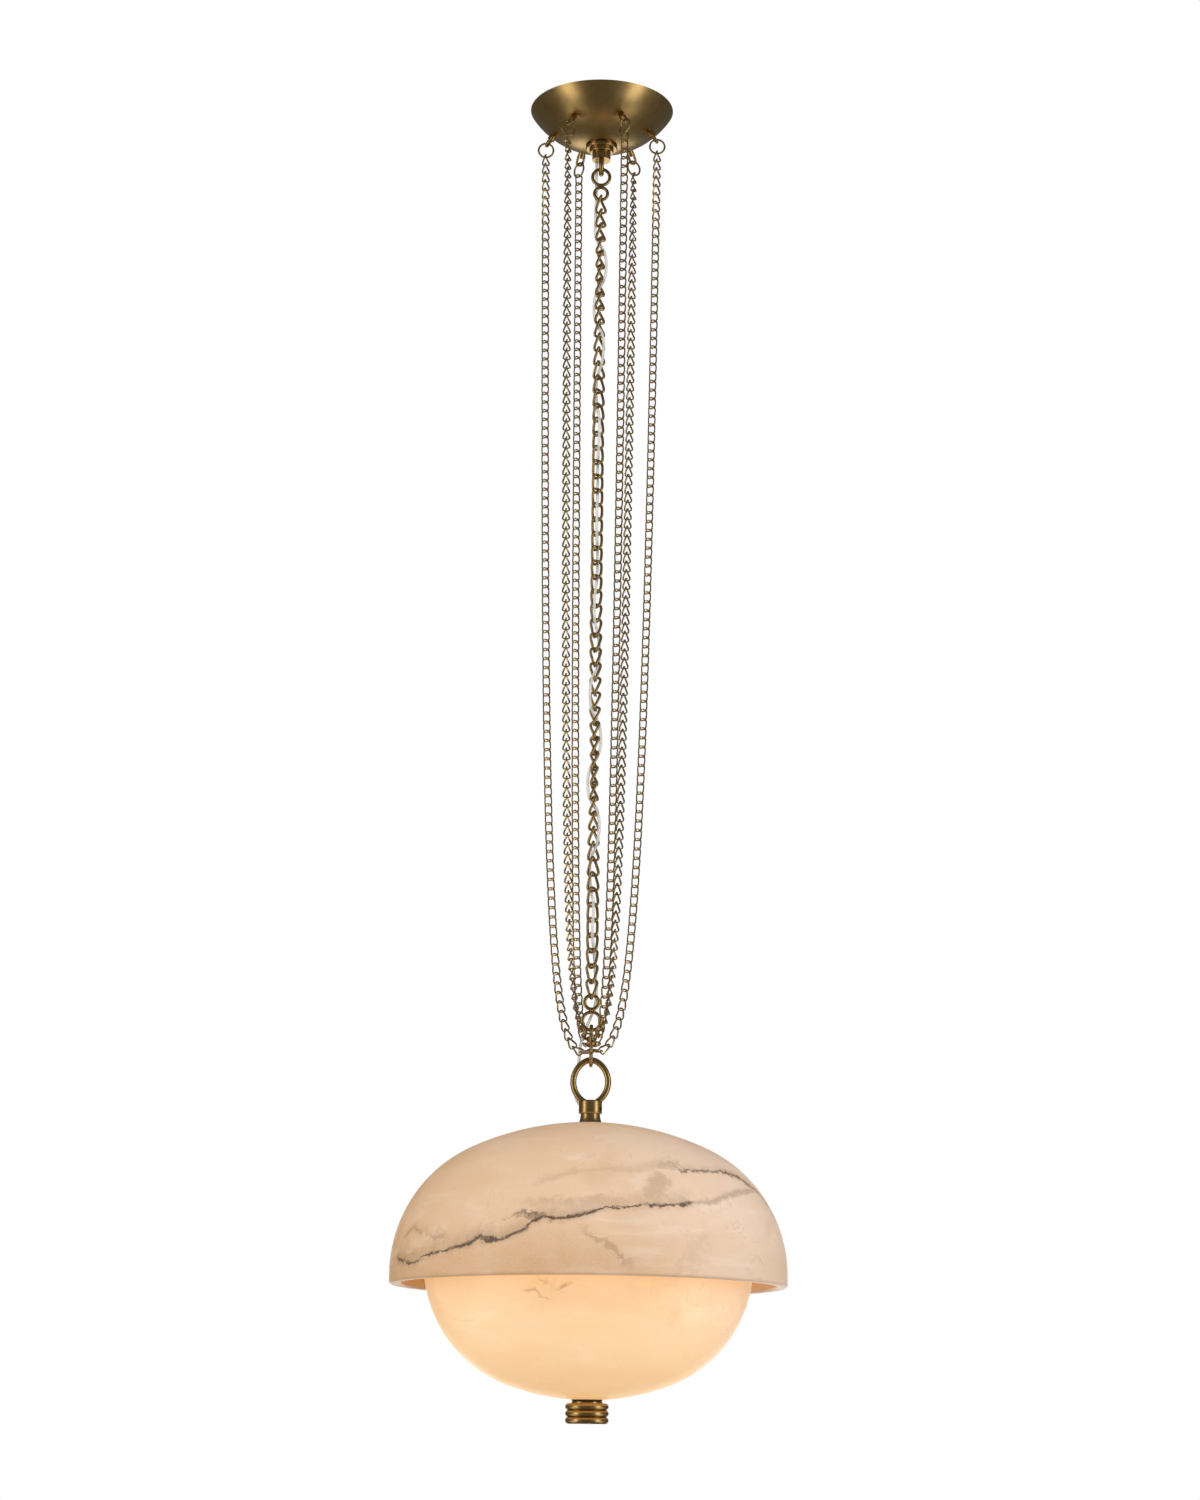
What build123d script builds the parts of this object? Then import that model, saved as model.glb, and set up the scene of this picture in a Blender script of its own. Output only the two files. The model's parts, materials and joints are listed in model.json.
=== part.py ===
from build123d import *
import math
import os

# Pendant light hung from a ceiling canopy. Millimetres, +Z up, origin on the ceiling at the canopy's centre.
# The viewer's side is -Y. Everything hangs below the ceiling, so most heights are negative.

# Clearances
HANG_GAP = 0.3          # between two hooked wires
THREAD_GAP = 0.05       # round a screwed or sliding bar
SEAT_GAP = 0.3          # between a push-in base and its socket

# Ceiling canopy, a pressed spherical bowl with a flat seat at its bottom
CANOPY_R = 63.5
CANOPY_DEPTH = 35.0
CANOPY_WALL = 1.2
CANOPY_SEAT_R = 15.0

# Crossbar on the ceiling
BAR_LENGTH = 100.0
BAR_WIDTH = 22.0
BAR_THICK = 2.5
SLOT_SPACING = 70.0
SLOT_LENGTH = 14.0
SLOT_WIDTH = 5.0
EARTH_SCREW_X = 20.0
EARTH_SCREW_R = 2.0
EARTH_HEAD_R = 3.6
EARTH_HEAD_H = 2.4
EARTH_SLOT = 0.8        # width and depth of the driver slot

# Threaded tube, used as the ceiling nipple and as the lamp's stem
TUBE_R = 4.9
TUBE_BORE_R = 3.2
TUBE_NUT_AF = 17.0
TUBE_NUT_H = 5.0
NIPPLE_DEPTH = 14.0     # how far the nipple goes into the canopy loop

# Canopy loop, its barrel and the screw collar
BARREL_R = 8.1
BARREL_ABOVE_SEAT = 10.0
BARREL_BELOW_SEAT = 13.8
CANOPY_LOOP_R = 6.5     # middle of the wire
CANOPY_LOOP_WIRE_R = 2.25
CANOPY_LOOP_SINK = 3.0  # how deep the loop's wire runs into the barrel
SLIP_WASHER_R = 13.0
SLIP_WASHER_H = 0.8
COLLAR_FLANGE_R = 14.0
COLLAR_FLANGE_H = 2.6
COLLAR_STEP_R = 10.8
COLLAR_STEP_H = 3.4
COLLAR_ROUND = 0.9

# Eye studs, six round the canopy
EYE_COUNT = 6
EYE_CIRCLE_R = 43.0
EYE_FIRST_ANGLE = -6.0
EYE_BOSS_R = 3.2
EYE_BOSS_H = 5.0
EYE_SHANK_R = 1.9
EYE_SHANK_LENGTH = 7.0
EYE_HALF_WIDTH = 2.9    # middle of the eye's wire
EYE_WIRE_R = 1.1
EYE_REACH = 9.0         # from the canopy to the start of the eye's bend
EYE_NUT_AF = 7.0
EYE_NUT_H = 3.0

# Jump rings at the top of the dress chains, and how far each is turned from the canopy's radius
RING_R = 6.6
RING_WIRE_R = 0.85
RING_TURNS = (8.0, -20.0, 15.0, 8.0, -22.0, 15.0)

# Figure-eight connectors: large and small ring, middle of the wire
EIGHT_LARGE_R = 7.6
EIGHT_SMALL_R = 5.8
EIGHT_WIRE_R = 1.45
EIGHT_SINK = 0.5        # how far the two rings run into each other
EIGHT_WAIST_H = 2.4

# Main chain of twisted curb links
MAIN_LINKS = 55
MAIN_PITCH = 13.0
MAIN_WIDTH = 10.2
MAIN_WIRE_R = 1.1
# Turn of the links about the chain, in degrees, at shares of the chain's length
MAIN_TURNS = ((0.0, 45.0), (0.07, 80.0), (0.14, 72.0), (0.26, 20.0), (0.36, 0.0), (0.5, -8.0),
              (0.74, -90.0), (0.9, -172.0), (1.0, -225.0))

# Dress chains, six finer curb chains
DRESS_PITCH = 8.0
DRESS_WIDTH = 6.7
DRESS_WIRE_R = 0.63
DRESS_END_SLOPE = 20.0  # degrees above level where a chain meets its gather ring
DRESS_RAMP = 14         # links over which a chain turns to its face at either end
DRESS_FACES = (-4.0, 38.0, 6.0, 3.0, 52.0, -8.0)
CHAIN_GAP = 0.4         # between the wires of neighbouring links
LINK_STUB = 1.0         # straight stretch at a link's end
LINK_TWIST = 45.0       # of a link's end from its middle, either way
SAG_STEEPEST = 60.0     # largest ratio tried between a hanging chain's level reach and its curve's scale
SAG_HALVINGS = 80

# Gather link and the rings on it
GATHER_LENGTH = 32.6    # middle of the wire
GATHER_WIDTH = 11.0
GATHER_WIRE_R = 1.55
GATHER_RING_R = 6.0
GATHER_RING_WIRE_R = 0.8
GATHER_RING_LEVELS = (2, 0, 1)          # of a leg's rings, counted from the top one
GATHER_RING_TILTS = (24.0, 10.0, -4.0)  # at each level
GATHER_RING_FIRST_DROP = 9.0
GATHER_RING_STEP = 5.2
GATHER_RING_STAGGER = 2.4  # the front leg's rings hang lower

# Power cable, woven through every third link
CABLE_R = 1.3
CABLE_OFFSET = 5.5      # from the chain's middle to the cable's
CABLE_EVERY = 3
CABLE_HOLE_GAP = 0.2
CABLE_ARC_SHARE = 0.45  # of the shorter run beside an arc that the arc takes up

# Lamp loop, hub and neck collar
LAMP_LOOP_WIDTH = 28.7  # middle of the wire
LAMP_LOOP_HEIGHT = 36.0
LAMP_LOOP_END_R = 10.0  # bend at the loop's top and foot
LAMP_LOOP_WIRE_R = 2.55
HUB_R = 9.6
HUB_TOP_SINK = 5.0      # how far the loop's bottom wire runs into the hub
HUB_H = 11.1
HUB_ROUND = 1.2
NECK_TOP_R = 8.0
NECK_FOOT_R = 9.5
NECK_H = 7.0
STEM_IN_HUB = 6.0
GRUB_R = 1.5
GRUB_LENGTH = 2.8
GRUB_ANGLE = -32.0
GRUB_DROP = 7.2

# Dome
DOME_R = 161.5
DOME_H = 132.0
DOME_SKIRT = 10.0
DOME_CROWN_R = 230.0
DOME_WALL = 9.0
DOME_ROUND = 2.5
DOME_HOLE_R = 5.6
DOME_GASKET_H = 0.8
DOME_PAD_R = 20.0
DOME_PAD_H = 1.5
DOME_WASHER_R = 21.0
DOME_WASHER_H = 2.0

# Bowl
BOWL_R = 134.0
BOWL_H = 110.0
BOWL_CROWN_R = 190.0
BOWL_WALL = 8.0
BOWL_SKIRT = 0.5
BOWL_ROUND = 2.0
BOWL_HOLE_R = 5.6
BOWL_ABOVE_DOME_RIM = 20.0
BOWL_STOP_WASHER_R = 18.0
BOWL_STOP_WASHER_H = 2.0
BOWL_PAD_H = 0.8

# Finial of three ribs
FINIAL_WASHER_R = 12.5
FINIAL_WASHER_H = 2.0
FINIAL_WASHER_CHAMFER = 1.0
FINIAL_R = 17.6
FINIAL_GROOVE_R = 15.6
FINIAL_RIBS = 3
FINIAL_RIB_H = 5.4
STEM_IN_FINIAL = 6.0

# Lamp bracket, lampholders and bulbs
LAMP_COUNT = 3
LAMP_FIRST_ANGLE = 265.0
LAMP_CIRCLE_R = 52.0
BRACKET_DROP = 83.0     # from the dome's top to the bracket
BRACKET_HUB_R = 15.0
BRACKET_ARM_WIDTH = 14.0
BRACKET_THICK = 2.0
HOLDER_R = 10.0
HOLDER_H = 24.0
HOLDER_ROUND = 1.5
HOLDER_SCREW_R = 1.9
HOLDER_SCREW_LENGTH = 9.0
HOLDER_HEAD_R = 3.4
HOLDER_HEAD_H = 2.0
HOLDER_HEAD_ROUND = 0.7
PIN_R = 0.65
PIN_SPACING = 9.0
PIN_LENGTH = 14.0
BULB_BASE_R = 8.0
BULB_BASE_H = 10.0
BULB_BASE_ROUND = 1.0
BULB_R = 7.4
BULB_LENGTH = 32.0


# Heights that follow from the sizes
CANOPY_SPHERE_R = (CANOPY_R**2 + CANOPY_DEPTH**2) / (2 * CANOPY_DEPTH)
CANOPY_CENTRE_Z = CANOPY_SPHERE_R - CANOPY_DEPTH
CANOPY_SEAT_Z = CANOPY_CENTRE_Z - math.sqrt(CANOPY_SPHERE_R**2 - CANOPY_SEAT_R**2)
BARREL_TOP_Z = CANOPY_SEAT_Z + BARREL_ABOVE_SEAT
BARREL_FOOT_Z = CANOPY_SEAT_Z - BARREL_BELOW_SEAT
CANOPY_LOOP_Z = BARREL_FOOT_Z + CANOPY_LOOP_SINK - CANOPY_LOOP_WIRE_R - CANOPY_LOOP_R
CANOPY_HOOK_Z = CANOPY_LOOP_Z - CANOPY_LOOP_R

EIGHT_SPAN = EIGHT_LARGE_R + EIGHT_SMALL_R + 2 * EIGHT_WIRE_R - EIGHT_SINK
UPPER_LARGE_Z = CANOPY_HOOK_Z + CANOPY_LOOP_WIRE_R + EIGHT_WIRE_R + HANG_GAP - EIGHT_LARGE_R
UPPER_SMALL_Z = UPPER_LARGE_Z - EIGHT_SPAN
UPPER_HOOK_Z = UPPER_SMALL_Z - EIGHT_SMALL_R

MAIN_TOP_Z = UPPER_HOOK_Z + EIGHT_WIRE_R + HANG_GAP - CHAIN_GAP / 2
MAIN_FOOT_Z = MAIN_TOP_Z - MAIN_LINKS * MAIN_PITCH
LOWER_SMALL_Z = MAIN_FOOT_Z + EIGHT_WIRE_R + HANG_GAP - CHAIN_GAP / 2 - EIGHT_SMALL_R
LOWER_LARGE_Z = LOWER_SMALL_Z - EIGHT_SPAN
LOWER_HOOK_Z = LOWER_LARGE_Z - EIGHT_LARGE_R

GATHER_TOP_Z = LOWER_HOOK_Z + EIGHT_WIRE_R + GATHER_WIRE_R + HANG_GAP
GATHER_FOOT_Z = GATHER_TOP_Z - GATHER_LENGTH
LAMP_LOOP_TOP_Z = GATHER_FOOT_Z + GATHER_WIRE_R + LAMP_LOOP_WIRE_R + HANG_GAP
LAMP_LOOP_FOOT_Z = LAMP_LOOP_TOP_Z - LAMP_LOOP_HEIGHT
HUB_TOP_Z = LAMP_LOOP_FOOT_Z - LAMP_LOOP_WIRE_R + HUB_TOP_SINK
HUB_FOOT_Z = HUB_TOP_Z - HUB_H
NECK_FOOT_Z = HUB_FOOT_Z - NECK_H
DOME_SEAT_Z = NECK_FOOT_Z - DOME_GASKET_H


def seat_drop(crown_r, seat_r):
    """How far a flat seat of radius seat_r lies from the top of a crown of radius crown_r."""
    return crown_r - math.sqrt(crown_r**2 - seat_r**2)


DOME_TOP_Z = DOME_SEAT_Z + seat_drop(DOME_CROWN_R, NECK_FOOT_R)
DOME_RIM_Z = DOME_TOP_Z - DOME_H
DOME_INNER_SEAT_Z = DOME_TOP_Z - DOME_WALL - seat_drop(DOME_CROWN_R - DOME_WALL, DOME_WASHER_R)
DOME_NUT_TOP_Z = DOME_INNER_SEAT_Z - DOME_PAD_H - DOME_WASHER_H
BRACKET_Z = DOME_TOP_Z - BRACKET_DROP
BOWL_RIM_Z = DOME_RIM_Z + BOWL_ABOVE_DOME_RIM
BOWL_FOOT_Z = BOWL_RIM_Z - BOWL_H
BOWL_SEAT_Z = BOWL_FOOT_Z + seat_drop(BOWL_CROWN_R, FINIAL_WASHER_R)
BOWL_INNER_SEAT_Z = BOWL_FOOT_Z + BOWL_WALL + seat_drop(BOWL_CROWN_R - BOWL_WALL, BOWL_STOP_WASHER_R)
FINIAL_WASHER_TOP_Z = BOWL_SEAT_Z - BOWL_PAD_H
FINIAL_TOP_Z = FINIAL_WASHER_TOP_Z - FINIAL_WASHER_H
FINIAL_FOOT_Z = FINIAL_TOP_Z - FINIAL_RIBS * FINIAL_RIB_H
STEM_TOP_Z = HUB_FOOT_Z + STEM_IN_HUB
STEM_FOOT_Z = FINIAL_TOP_Z - STEM_IN_FINIAL
TUBE_HOLE_R = TUBE_R + THREAD_GAP
RING_TOP_ABOVE_EYE = EYE_WIRE_R + RING_WIRE_R + HANG_GAP


# Small shape helpers
def disc(radius, top, height, hole=0.0):
    """An upright cylinder hanging down from a height, with an optional hole through it."""
    solid = Pos(0, 0, top - height / 2) * Cylinder(radius, height)
    if hole:
        solid -= Pos(0, 0, top - height / 2) * Cylinder(hole, height)
    return solid


def hex_nut(across, height, hole):
    """A hexagonal nut with its top face at the origin."""
    blank = extrude(RegularPolygon(across / 2, 6, major_radius=False), amount=-height)
    return blank - Pos(0, 0, -height / 2) * Cylinder(hole, height)


def turned(outline):
    """A solid of revolution about Z from a closed outline of radius and height."""
    return revolve(Plane.XZ * make_face(outline), axis=Axis.Z)


def bar(start, end, radius):
    """A straight round bar between two points."""
    run = Vector(end) - Vector(start)
    return extrude(Plane(start, z_dir=run) * Circle(radius), amount=run.length)


def tube_on(path, radius):
    """A round bar along a path of straight runs and tangent arcs."""
    return sweep(Plane(path @ 0, z_dir=path % 0) * Circle(radius), path=path)


def ring_arc(radius, wire_r, start, end):
    """The stretch of a ring in the XZ plane between two angles from X towards Z."""
    section = Pos(radius, 0, 0) * Circle(wire_r)
    return Rot(0, -start, 0) * revolve(section, axis=Axis((0, 0, 0), (0, -1, 0)), revolution_arc=end - start)


def half_ring(radius, wire_r):
    """The upper half of a ring in the XZ plane."""
    return ring_arc(radius, wire_r, 0, 180)


def four_arc_oval(width, height, end_r, wire_r):
    """An upright loop in the XZ plane of four tangent arcs, tight at its ends and wide at its sides."""
    half_width = width / 2
    rise = height / 2 - end_r
    side_r = (half_width**2 + rise**2 - end_r**2) / (2 * (half_width - end_r))
    spread = math.degrees(math.atan2(rise, side_r - half_width))
    half = Pos(0, 0, rise) * ring_arc(end_r, wire_r, spread, 180 - spread)
    half += Pos(half_width - side_r, 0, 0) * ring_arc(side_r, wire_r, -spread, spread)
    return half + Rot(0, 180, 0) * half


def oval(width, height, wire_r):
    """An upright oval loop in the XZ plane: two half rings joined by straight sides."""
    end_r = width / 2
    side = height / 2 - end_r
    end = Pos(0, 0, side) * half_ring(end_r, wire_r)
    loop = end + Rot(0, 180, 0) * end
    for x in (-end_r, end_r):
        loop += bar((x, 0, -side), (x, 0, side), wire_r)
    return loop


def group(solids):
    """Several separate solids kept as one piece."""
    return Compound(children=list(solids))


def round_places(count, first_angle, radius, height=0.0):
    """Places spread evenly round Z, each with its X axis pointing outwards."""
    for i in range(count):
        yield Rot(0, 0, first_angle + i * 360 / count) * Pos(radius, 0, height)


# Curb links and chains
def curb_link(pitch, width, wire_r):
    """A link along Z with its two ends twisted opposite ways: a skew rectangle with rounded corners."""
    half = (pitch + 2 * wire_r + CHAIN_GAP) / 2
    side = width / 2 - wire_r
    twist = math.radians(LINK_TWIST)
    skew = side * math.tan(twist)
    corner = math.acos(math.sin(twist) * skew / math.hypot(skew, half))
    bend_r = (side / math.cos(twist) - LINK_STUB / 2) * math.tan(corner / 2)
    corners = ((0, 0, half), (side, skew, half), (side, -skew, -half), (0, 0, -half))
    path = FilletPolyline(*corners, radius=bend_r)
    half_link = tube_on(path, wire_r)
    return half_link + Rot(0, 0, 180) * half_link


def turn_at(turns, share):
    """The chain's turn in degrees at a share of its length, between the stated ones."""
    for (s0, t0), (s1, t1) in zip(turns, turns[1:]):
        if share <= s1:
            return t0 + (t1 - t0) * (share - s0) / (s1 - s0)
    return turns[-1][1]


def chain_on(link, joints, facing, turns):
    """Links between neighbouring joints, each turned about its own length from the facing direction."""
    count = len(joints) - 1
    for i in range(count):
        start = joints[i]
        end = joints[i + 1]
        place = Plane((start + end) / 2, x_dir=facing, z_dir=start - end)
        yield place.location * Rot(0, 0, turn_at(turns, (i + 0.5) / count)) * link


def hanging_joints(top, low, pitch, end_slope):
    """Points a pitch apart, nearly, down a chain that hangs from top to low and meets low at a slope.

    The curve is a catenary: level distance a*(asinh(t) - asinh(t0)),
    height a*(sqrt(1 + t*t) - sqrt(1 + t0*t0)),
    where t is the slope, t0 its value at low, and a is found by halving so that the curve reaches top.
    """
    out = Vector(top.X - low.X, top.Y - low.Y, 0)
    level = out.length
    height = top.Z - low.Z
    t0 = math.tan(math.radians(end_slope))
    least = level / SAG_STEEPEST
    most = height
    for _ in range(SAG_HALVINGS):
        a = (least + most) / 2
        reach = a * (math.cosh(math.asinh(t0) + level / a) - math.hypot(1, t0))
        if reach > height:
            least = a
        else:
            most = a
    length = a * (math.sinh(math.asinh(t0) + level / a) - t0)
    count = round(length / pitch)
    joints = []
    for i in range(count, -1, -1):
        t = t0 + length * i / count / a
        along = a * (math.asinh(t) - math.asinh(t0))
        up = a * (math.hypot(1, t) - math.hypot(1, t0))
        joints.append(low + out.normalized() * along + Vector(0, 0, up))
    return joints


# Canopy and what is in it
def ceiling_canopy():
    inner_r = CANOPY_SPHERE_R - CANOPY_WALL
    inner_z = CANOPY_SEAT_Z + CANOPY_WALL
    inner_seat_r = math.sqrt(inner_r**2 - (CANOPY_CENTRE_Z - inner_z) ** 2)
    inner_rim_r = math.sqrt(inner_r**2 - CANOPY_CENTRE_Z**2)
    hole_r = BARREL_R + THREAD_GAP
    outer = RadiusArc((CANOPY_R, 0), (CANOPY_SEAT_R, CANOPY_SEAT_Z), CANOPY_SPHERE_R)
    inner = RadiusArc((inner_rim_r, 0), (inner_seat_r, inner_z), inner_r)
    seat = Polyline((CANOPY_SEAT_R, CANOPY_SEAT_Z), (hole_r, CANOPY_SEAT_Z), (hole_r, inner_z),
                    (inner_seat_r, inner_z))
    rim = Line((inner_rim_r, 0), (CANOPY_R, 0))
    shell = turned([outer, seat, inner, rim])
    for place in eye_places():
        shell -= place * Cylinder(EYE_SHANK_R + THREAD_GAP, EYE_SHANK_LENGTH)
    return shell


def eye_places():
    """Places on the canopy's outer face, with Z pointing out of the face and X along the canopy's rim."""
    lean = math.degrees(math.asin(EYE_CIRCLE_R / CANOPY_SPHERE_R))
    height = CANOPY_CENTRE_Z - math.sqrt(CANOPY_SPHERE_R**2 - EYE_CIRCLE_R**2)
    for place in round_places(EYE_COUNT, EYE_FIRST_ANGLE, EYE_CIRCLE_R, height):
        yield place * Rot(0, 180 - lean, 0) * Rot(0, 0, 90)


def eye_stud():
    """A boss with a shank behind it and an eye in front, along Z, with the eye's wire along X at its end."""
    stud = Pos(0, 0, EYE_BOSS_H / 2) * Cylinder(EYE_BOSS_R, EYE_BOSS_H)
    stud += Pos(0, 0, -EYE_SHANK_LENGTH / 2) * Cylinder(EYE_SHANK_R, EYE_SHANK_LENGTH)
    for x in (-EYE_HALF_WIDTH, EYE_HALF_WIDTH):
        stud += bar((x, 0, EYE_BOSS_H / 2), (x, 0, EYE_REACH), EYE_WIRE_R)
    return stud + Pos(0, 0, EYE_REACH) * half_ring(EYE_HALF_WIDTH, EYE_WIRE_R)


def eye_nut():
    """A nut on the stud's shank, against the canopy's inner face."""
    lift = CANOPY_WALL + seat_drop(CANOPY_SPHERE_R - CANOPY_WALL, EYE_NUT_AF / math.sqrt(3))
    return Pos(0, 0, -lift) * hex_nut(EYE_NUT_AF, EYE_NUT_H, EYE_SHANK_R + THREAD_GAP)


def crossbar():
    plate = Pos(0, 0, -BAR_THICK / 2) * Box(BAR_LENGTH, BAR_WIDTH, BAR_THICK)
    plate -= disc(TUBE_HOLE_R, 0, BAR_THICK)
    plate -= Pos(EARTH_SCREW_X, 0, 0) * disc(EARTH_SCREW_R + THREAD_GAP, 0, BAR_THICK)
    for x in (-SLOT_SPACING / 2, SLOT_SPACING / 2):
        plate -= Pos(x, 0, 0) * extrude(SlotOverall(SLOT_LENGTH, SLOT_WIDTH), amount=-BAR_THICK)
    return plate


def earth_screw():
    head = disc(EARTH_HEAD_R, -BAR_THICK, EARTH_HEAD_H)
    slot = Pos(0, 0, -BAR_THICK - EARTH_HEAD_H) * Box(2 * EARTH_HEAD_R, EARTH_SLOT, 2 * EARTH_SLOT)
    shank = disc(EARTH_SCREW_R, 0, BAR_THICK)
    return Pos(EARTH_SCREW_X, 0, 0) * (head - slot + shank)


def threaded_nipple():
    return disc(TUBE_R, 0, NIPPLE_DEPTH - BARREL_TOP_Z, TUBE_BORE_R)


def canopy_loop():
    barrel = disc(BARREL_R, BARREL_TOP_Z, BARREL_TOP_Z - BARREL_FOOT_Z)
    barrel += Pos(0, 0, CANOPY_LOOP_Z) * Rot(0, 90, 0) * Torus(CANOPY_LOOP_R, CANOPY_LOOP_WIRE_R)
    barrel -= disc(TUBE_HOLE_R, BARREL_TOP_Z, NIPPLE_DEPTH + THREAD_GAP)
    return barrel - bar(CABLE_HEAD[0], CABLE_HEAD[1], CABLE_R + CABLE_HOLE_GAP)


def slip_washer():
    return disc(SLIP_WASHER_R, CANOPY_SEAT_Z, SLIP_WASHER_H, BARREL_R + THREAD_GAP)


def screw_collar():
    top = CANOPY_SEAT_Z - SLIP_WASHER_H
    flange = disc(COLLAR_FLANGE_R, top, COLLAR_FLANGE_H)
    flange = fillet(flange.edges().sort_by(Axis.Z)[0], COLLAR_ROUND)
    step = disc(COLLAR_STEP_R, top, COLLAR_FLANGE_H + COLLAR_STEP_H)
    step = fillet(step.edges().sort_by(Axis.Z)[0], COLLAR_ROUND)
    return flange + step - disc(BARREL_R + THREAD_GAP, top, COLLAR_FLANGE_H + COLLAR_STEP_H)


def eye_end(i):
    """The middle of eye i's wire at its outer end."""
    place = list(eye_places())[i]
    return (place * Pos(0, 0, EYE_REACH + EYE_HALF_WIDTH)).position


def hanging_ring(i):
    """A jump ring hung upright on eye i."""
    turn = EYE_FIRST_ANGLE + i * 360 / EYE_COUNT + RING_TURNS[i]
    middle = eye_end(i) + Vector(0, 0, RING_TOP_ABOVE_EYE - RING_R)
    return Pos(*middle) * Rot(0, 0, turn) * Rot(90, 0, 0) * Torus(RING_R, RING_WIRE_R)


# Connectors and the main chain
def figure_eight(large_z, small_z):
    """Two upright rings in the XZ plane, joined by a short waist."""
    eight = Pos(0, 0, large_z) * Rot(90, 0, 0) * Torus(EIGHT_LARGE_R, EIGHT_WIRE_R)
    eight += Pos(0, 0, small_z) * Rot(90, 0, 0) * Torus(EIGHT_SMALL_R, EIGHT_WIRE_R)
    side = math.copysign(EIGHT_LARGE_R + EIGHT_WIRE_R - EIGHT_SINK / 2, small_z - large_z)
    waist = Pos(0, 0, large_z + side) * Cylinder(EIGHT_WIRE_R, EIGHT_WAIST_H)
    return eight + waist


def main_chain():
    link = curb_link(MAIN_PITCH, MAIN_WIDTH, MAIN_WIRE_R)
    joints = [Vector(0, 0, MAIN_TOP_Z - i * MAIN_PITCH) for i in range(MAIN_LINKS + 1)]
    return group(chain_on(link, joints, (1, 0, 0), MAIN_TURNS))


# Gather link, its rings and the dress chains
def gather_ring_frame(i):
    """The middle of gather ring i, pulled outwards against a leg, and the way it points."""
    per_leg = EYE_COUNT // 2
    side = i // per_leg
    level = GATHER_RING_LEVELS[i % per_leg]
    drop = GATHER_RING_FIRST_DROP + level * GATHER_RING_STEP + side * GATHER_RING_STAGGER
    leg = Vector(0, GATHER_WIDTH / 2 - side * GATHER_WIDTH, GATHER_TOP_Z - drop)
    eye = eye_end(i)
    tilt = math.radians(GATHER_RING_TILTS[level])
    out = Vector(eye.X - leg.X, eye.Y - leg.Y, 0).normalized() * math.cos(tilt) + Vector(0, 0, math.sin(tilt))
    leg_r = GATHER_WIRE_R / math.cos(tilt)
    return leg + out * (GATHER_RING_R - GATHER_RING_WIRE_R - leg_r - HANG_GAP), out


def gather_ring(i):
    middle, out = gather_ring_frame(i)
    across = Vector(-out.Y, out.X, 0)
    place = Plane(middle, x_dir=out, z_dir=out.cross(across))
    return place.location * Torus(GATHER_RING_R, GATHER_RING_WIRE_R)


def dress_joints(i):
    """The joints of dress chain i, from its jump ring down to its gather ring."""
    ring_foot = eye_end(i) + Vector(0, 0, RING_TOP_ABOVE_EYE - 2 * RING_R)
    top = ring_foot + Vector(0, 0, RING_WIRE_R + HANG_GAP - CHAIN_GAP / 2)
    ring_middle, out = gather_ring_frame(i)
    ring_side = ring_middle + out * GATHER_RING_R
    slope = math.radians(DRESS_END_SLOPE)
    level = Vector(ring_side.X - top.X, ring_side.Y - top.Y, 0).normalized()
    pull = level * math.cos(slope) - Vector(0, 0, math.sin(slope))
    low = ring_side + pull * (GATHER_RING_WIRE_R + HANG_GAP - CHAIN_GAP / 2)
    return hanging_joints(top, low, DRESS_PITCH, DRESS_END_SLOPE)


def nearest_turn(turn, target):
    """The turn nearest to target that looks the same, since a link repeats every half turn."""
    return turn + 180 * round((target - turn) / 180)


def dress_chain(i):
    link = curb_link(DRESS_PITCH, DRESS_WIDTH, DRESS_WIRE_R)
    joints = dress_joints(i)
    out = joints[0] - joints[-1]
    plane_angle = math.degrees(math.atan2(out.Y, out.X)) - 90
    facing = Vector(1, 0, 0).rotate(Axis.Z, plane_angle)
    ring_angle = EYE_FIRST_ANGLE + i * 360 / EYE_COUNT + RING_TURNS[i]
    middle = DRESS_FACES[i] - plane_angle
    first = nearest_turn(ring_angle + 90 - LINK_TWIST - plane_angle, middle)
    last = nearest_turn(90 + LINK_TWIST, middle)
    ramp = DRESS_RAMP / (len(joints) - 1)
    turns = ((0, first), (ramp, middle), (1 - ramp, middle), (1, last))
    return group(chain_on(link, joints, facing, turns))


def gather_link():
    middle = (GATHER_TOP_Z + GATHER_FOOT_Z) / 2
    return Pos(0, 0, middle) * Rot(0, 0, 90) * oval(GATHER_WIDTH, GATHER_LENGTH, GATHER_WIRE_R)


# Power cable: beside the upper connector, woven down the main chain, then behind the gather rings to the hub
CABLE_HEAD = (
    (-4.1, 4.1, BARREL_FOOT_Z + 4.0),
    (-4.2, 4.1, UPPER_LARGE_Z + 2.0),
    (-4.0, 4.3, UPPER_SMALL_Z + 2.0),
)
CABLE_TAIL = (
    (4.4, 4.2, LOWER_SMALL_Z + 3.0),
    (0.4, 4.8, LOWER_LARGE_Z + 6.0),
    (-6.0, 5.0, LOWER_HOOK_Z - 1.0),
    (-9.2, 4.4, GATHER_TOP_Z - 15.0),
    (-9.8, 4.6, GATHER_FOOT_Z + 3.0),
    (-13.0, 4.7, LAMP_LOOP_TOP_Z - 11.0),
    (-13.8, 4.7, LAMP_LOOP_TOP_Z - 20.0),
    (-12.0, 6.2, HUB_TOP_Z + 2.5),
    (-9.6, 6.4, HUB_TOP_Z - 2.4),
    (-4.6, 4.0, HUB_TOP_Z - 4.0),
)


def cable_joint(i, side):
    """A point beside joint i of the main chain, out of the links' faces, on one side or the other."""
    turn = math.radians(turn_at(MAIN_TURNS, i / MAIN_LINKS) + 90)
    reach = side * CABLE_OFFSET
    return (reach * math.cos(turn), reach * math.sin(turn), MAIN_TOP_Z - i * MAIN_PITCH)


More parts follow.
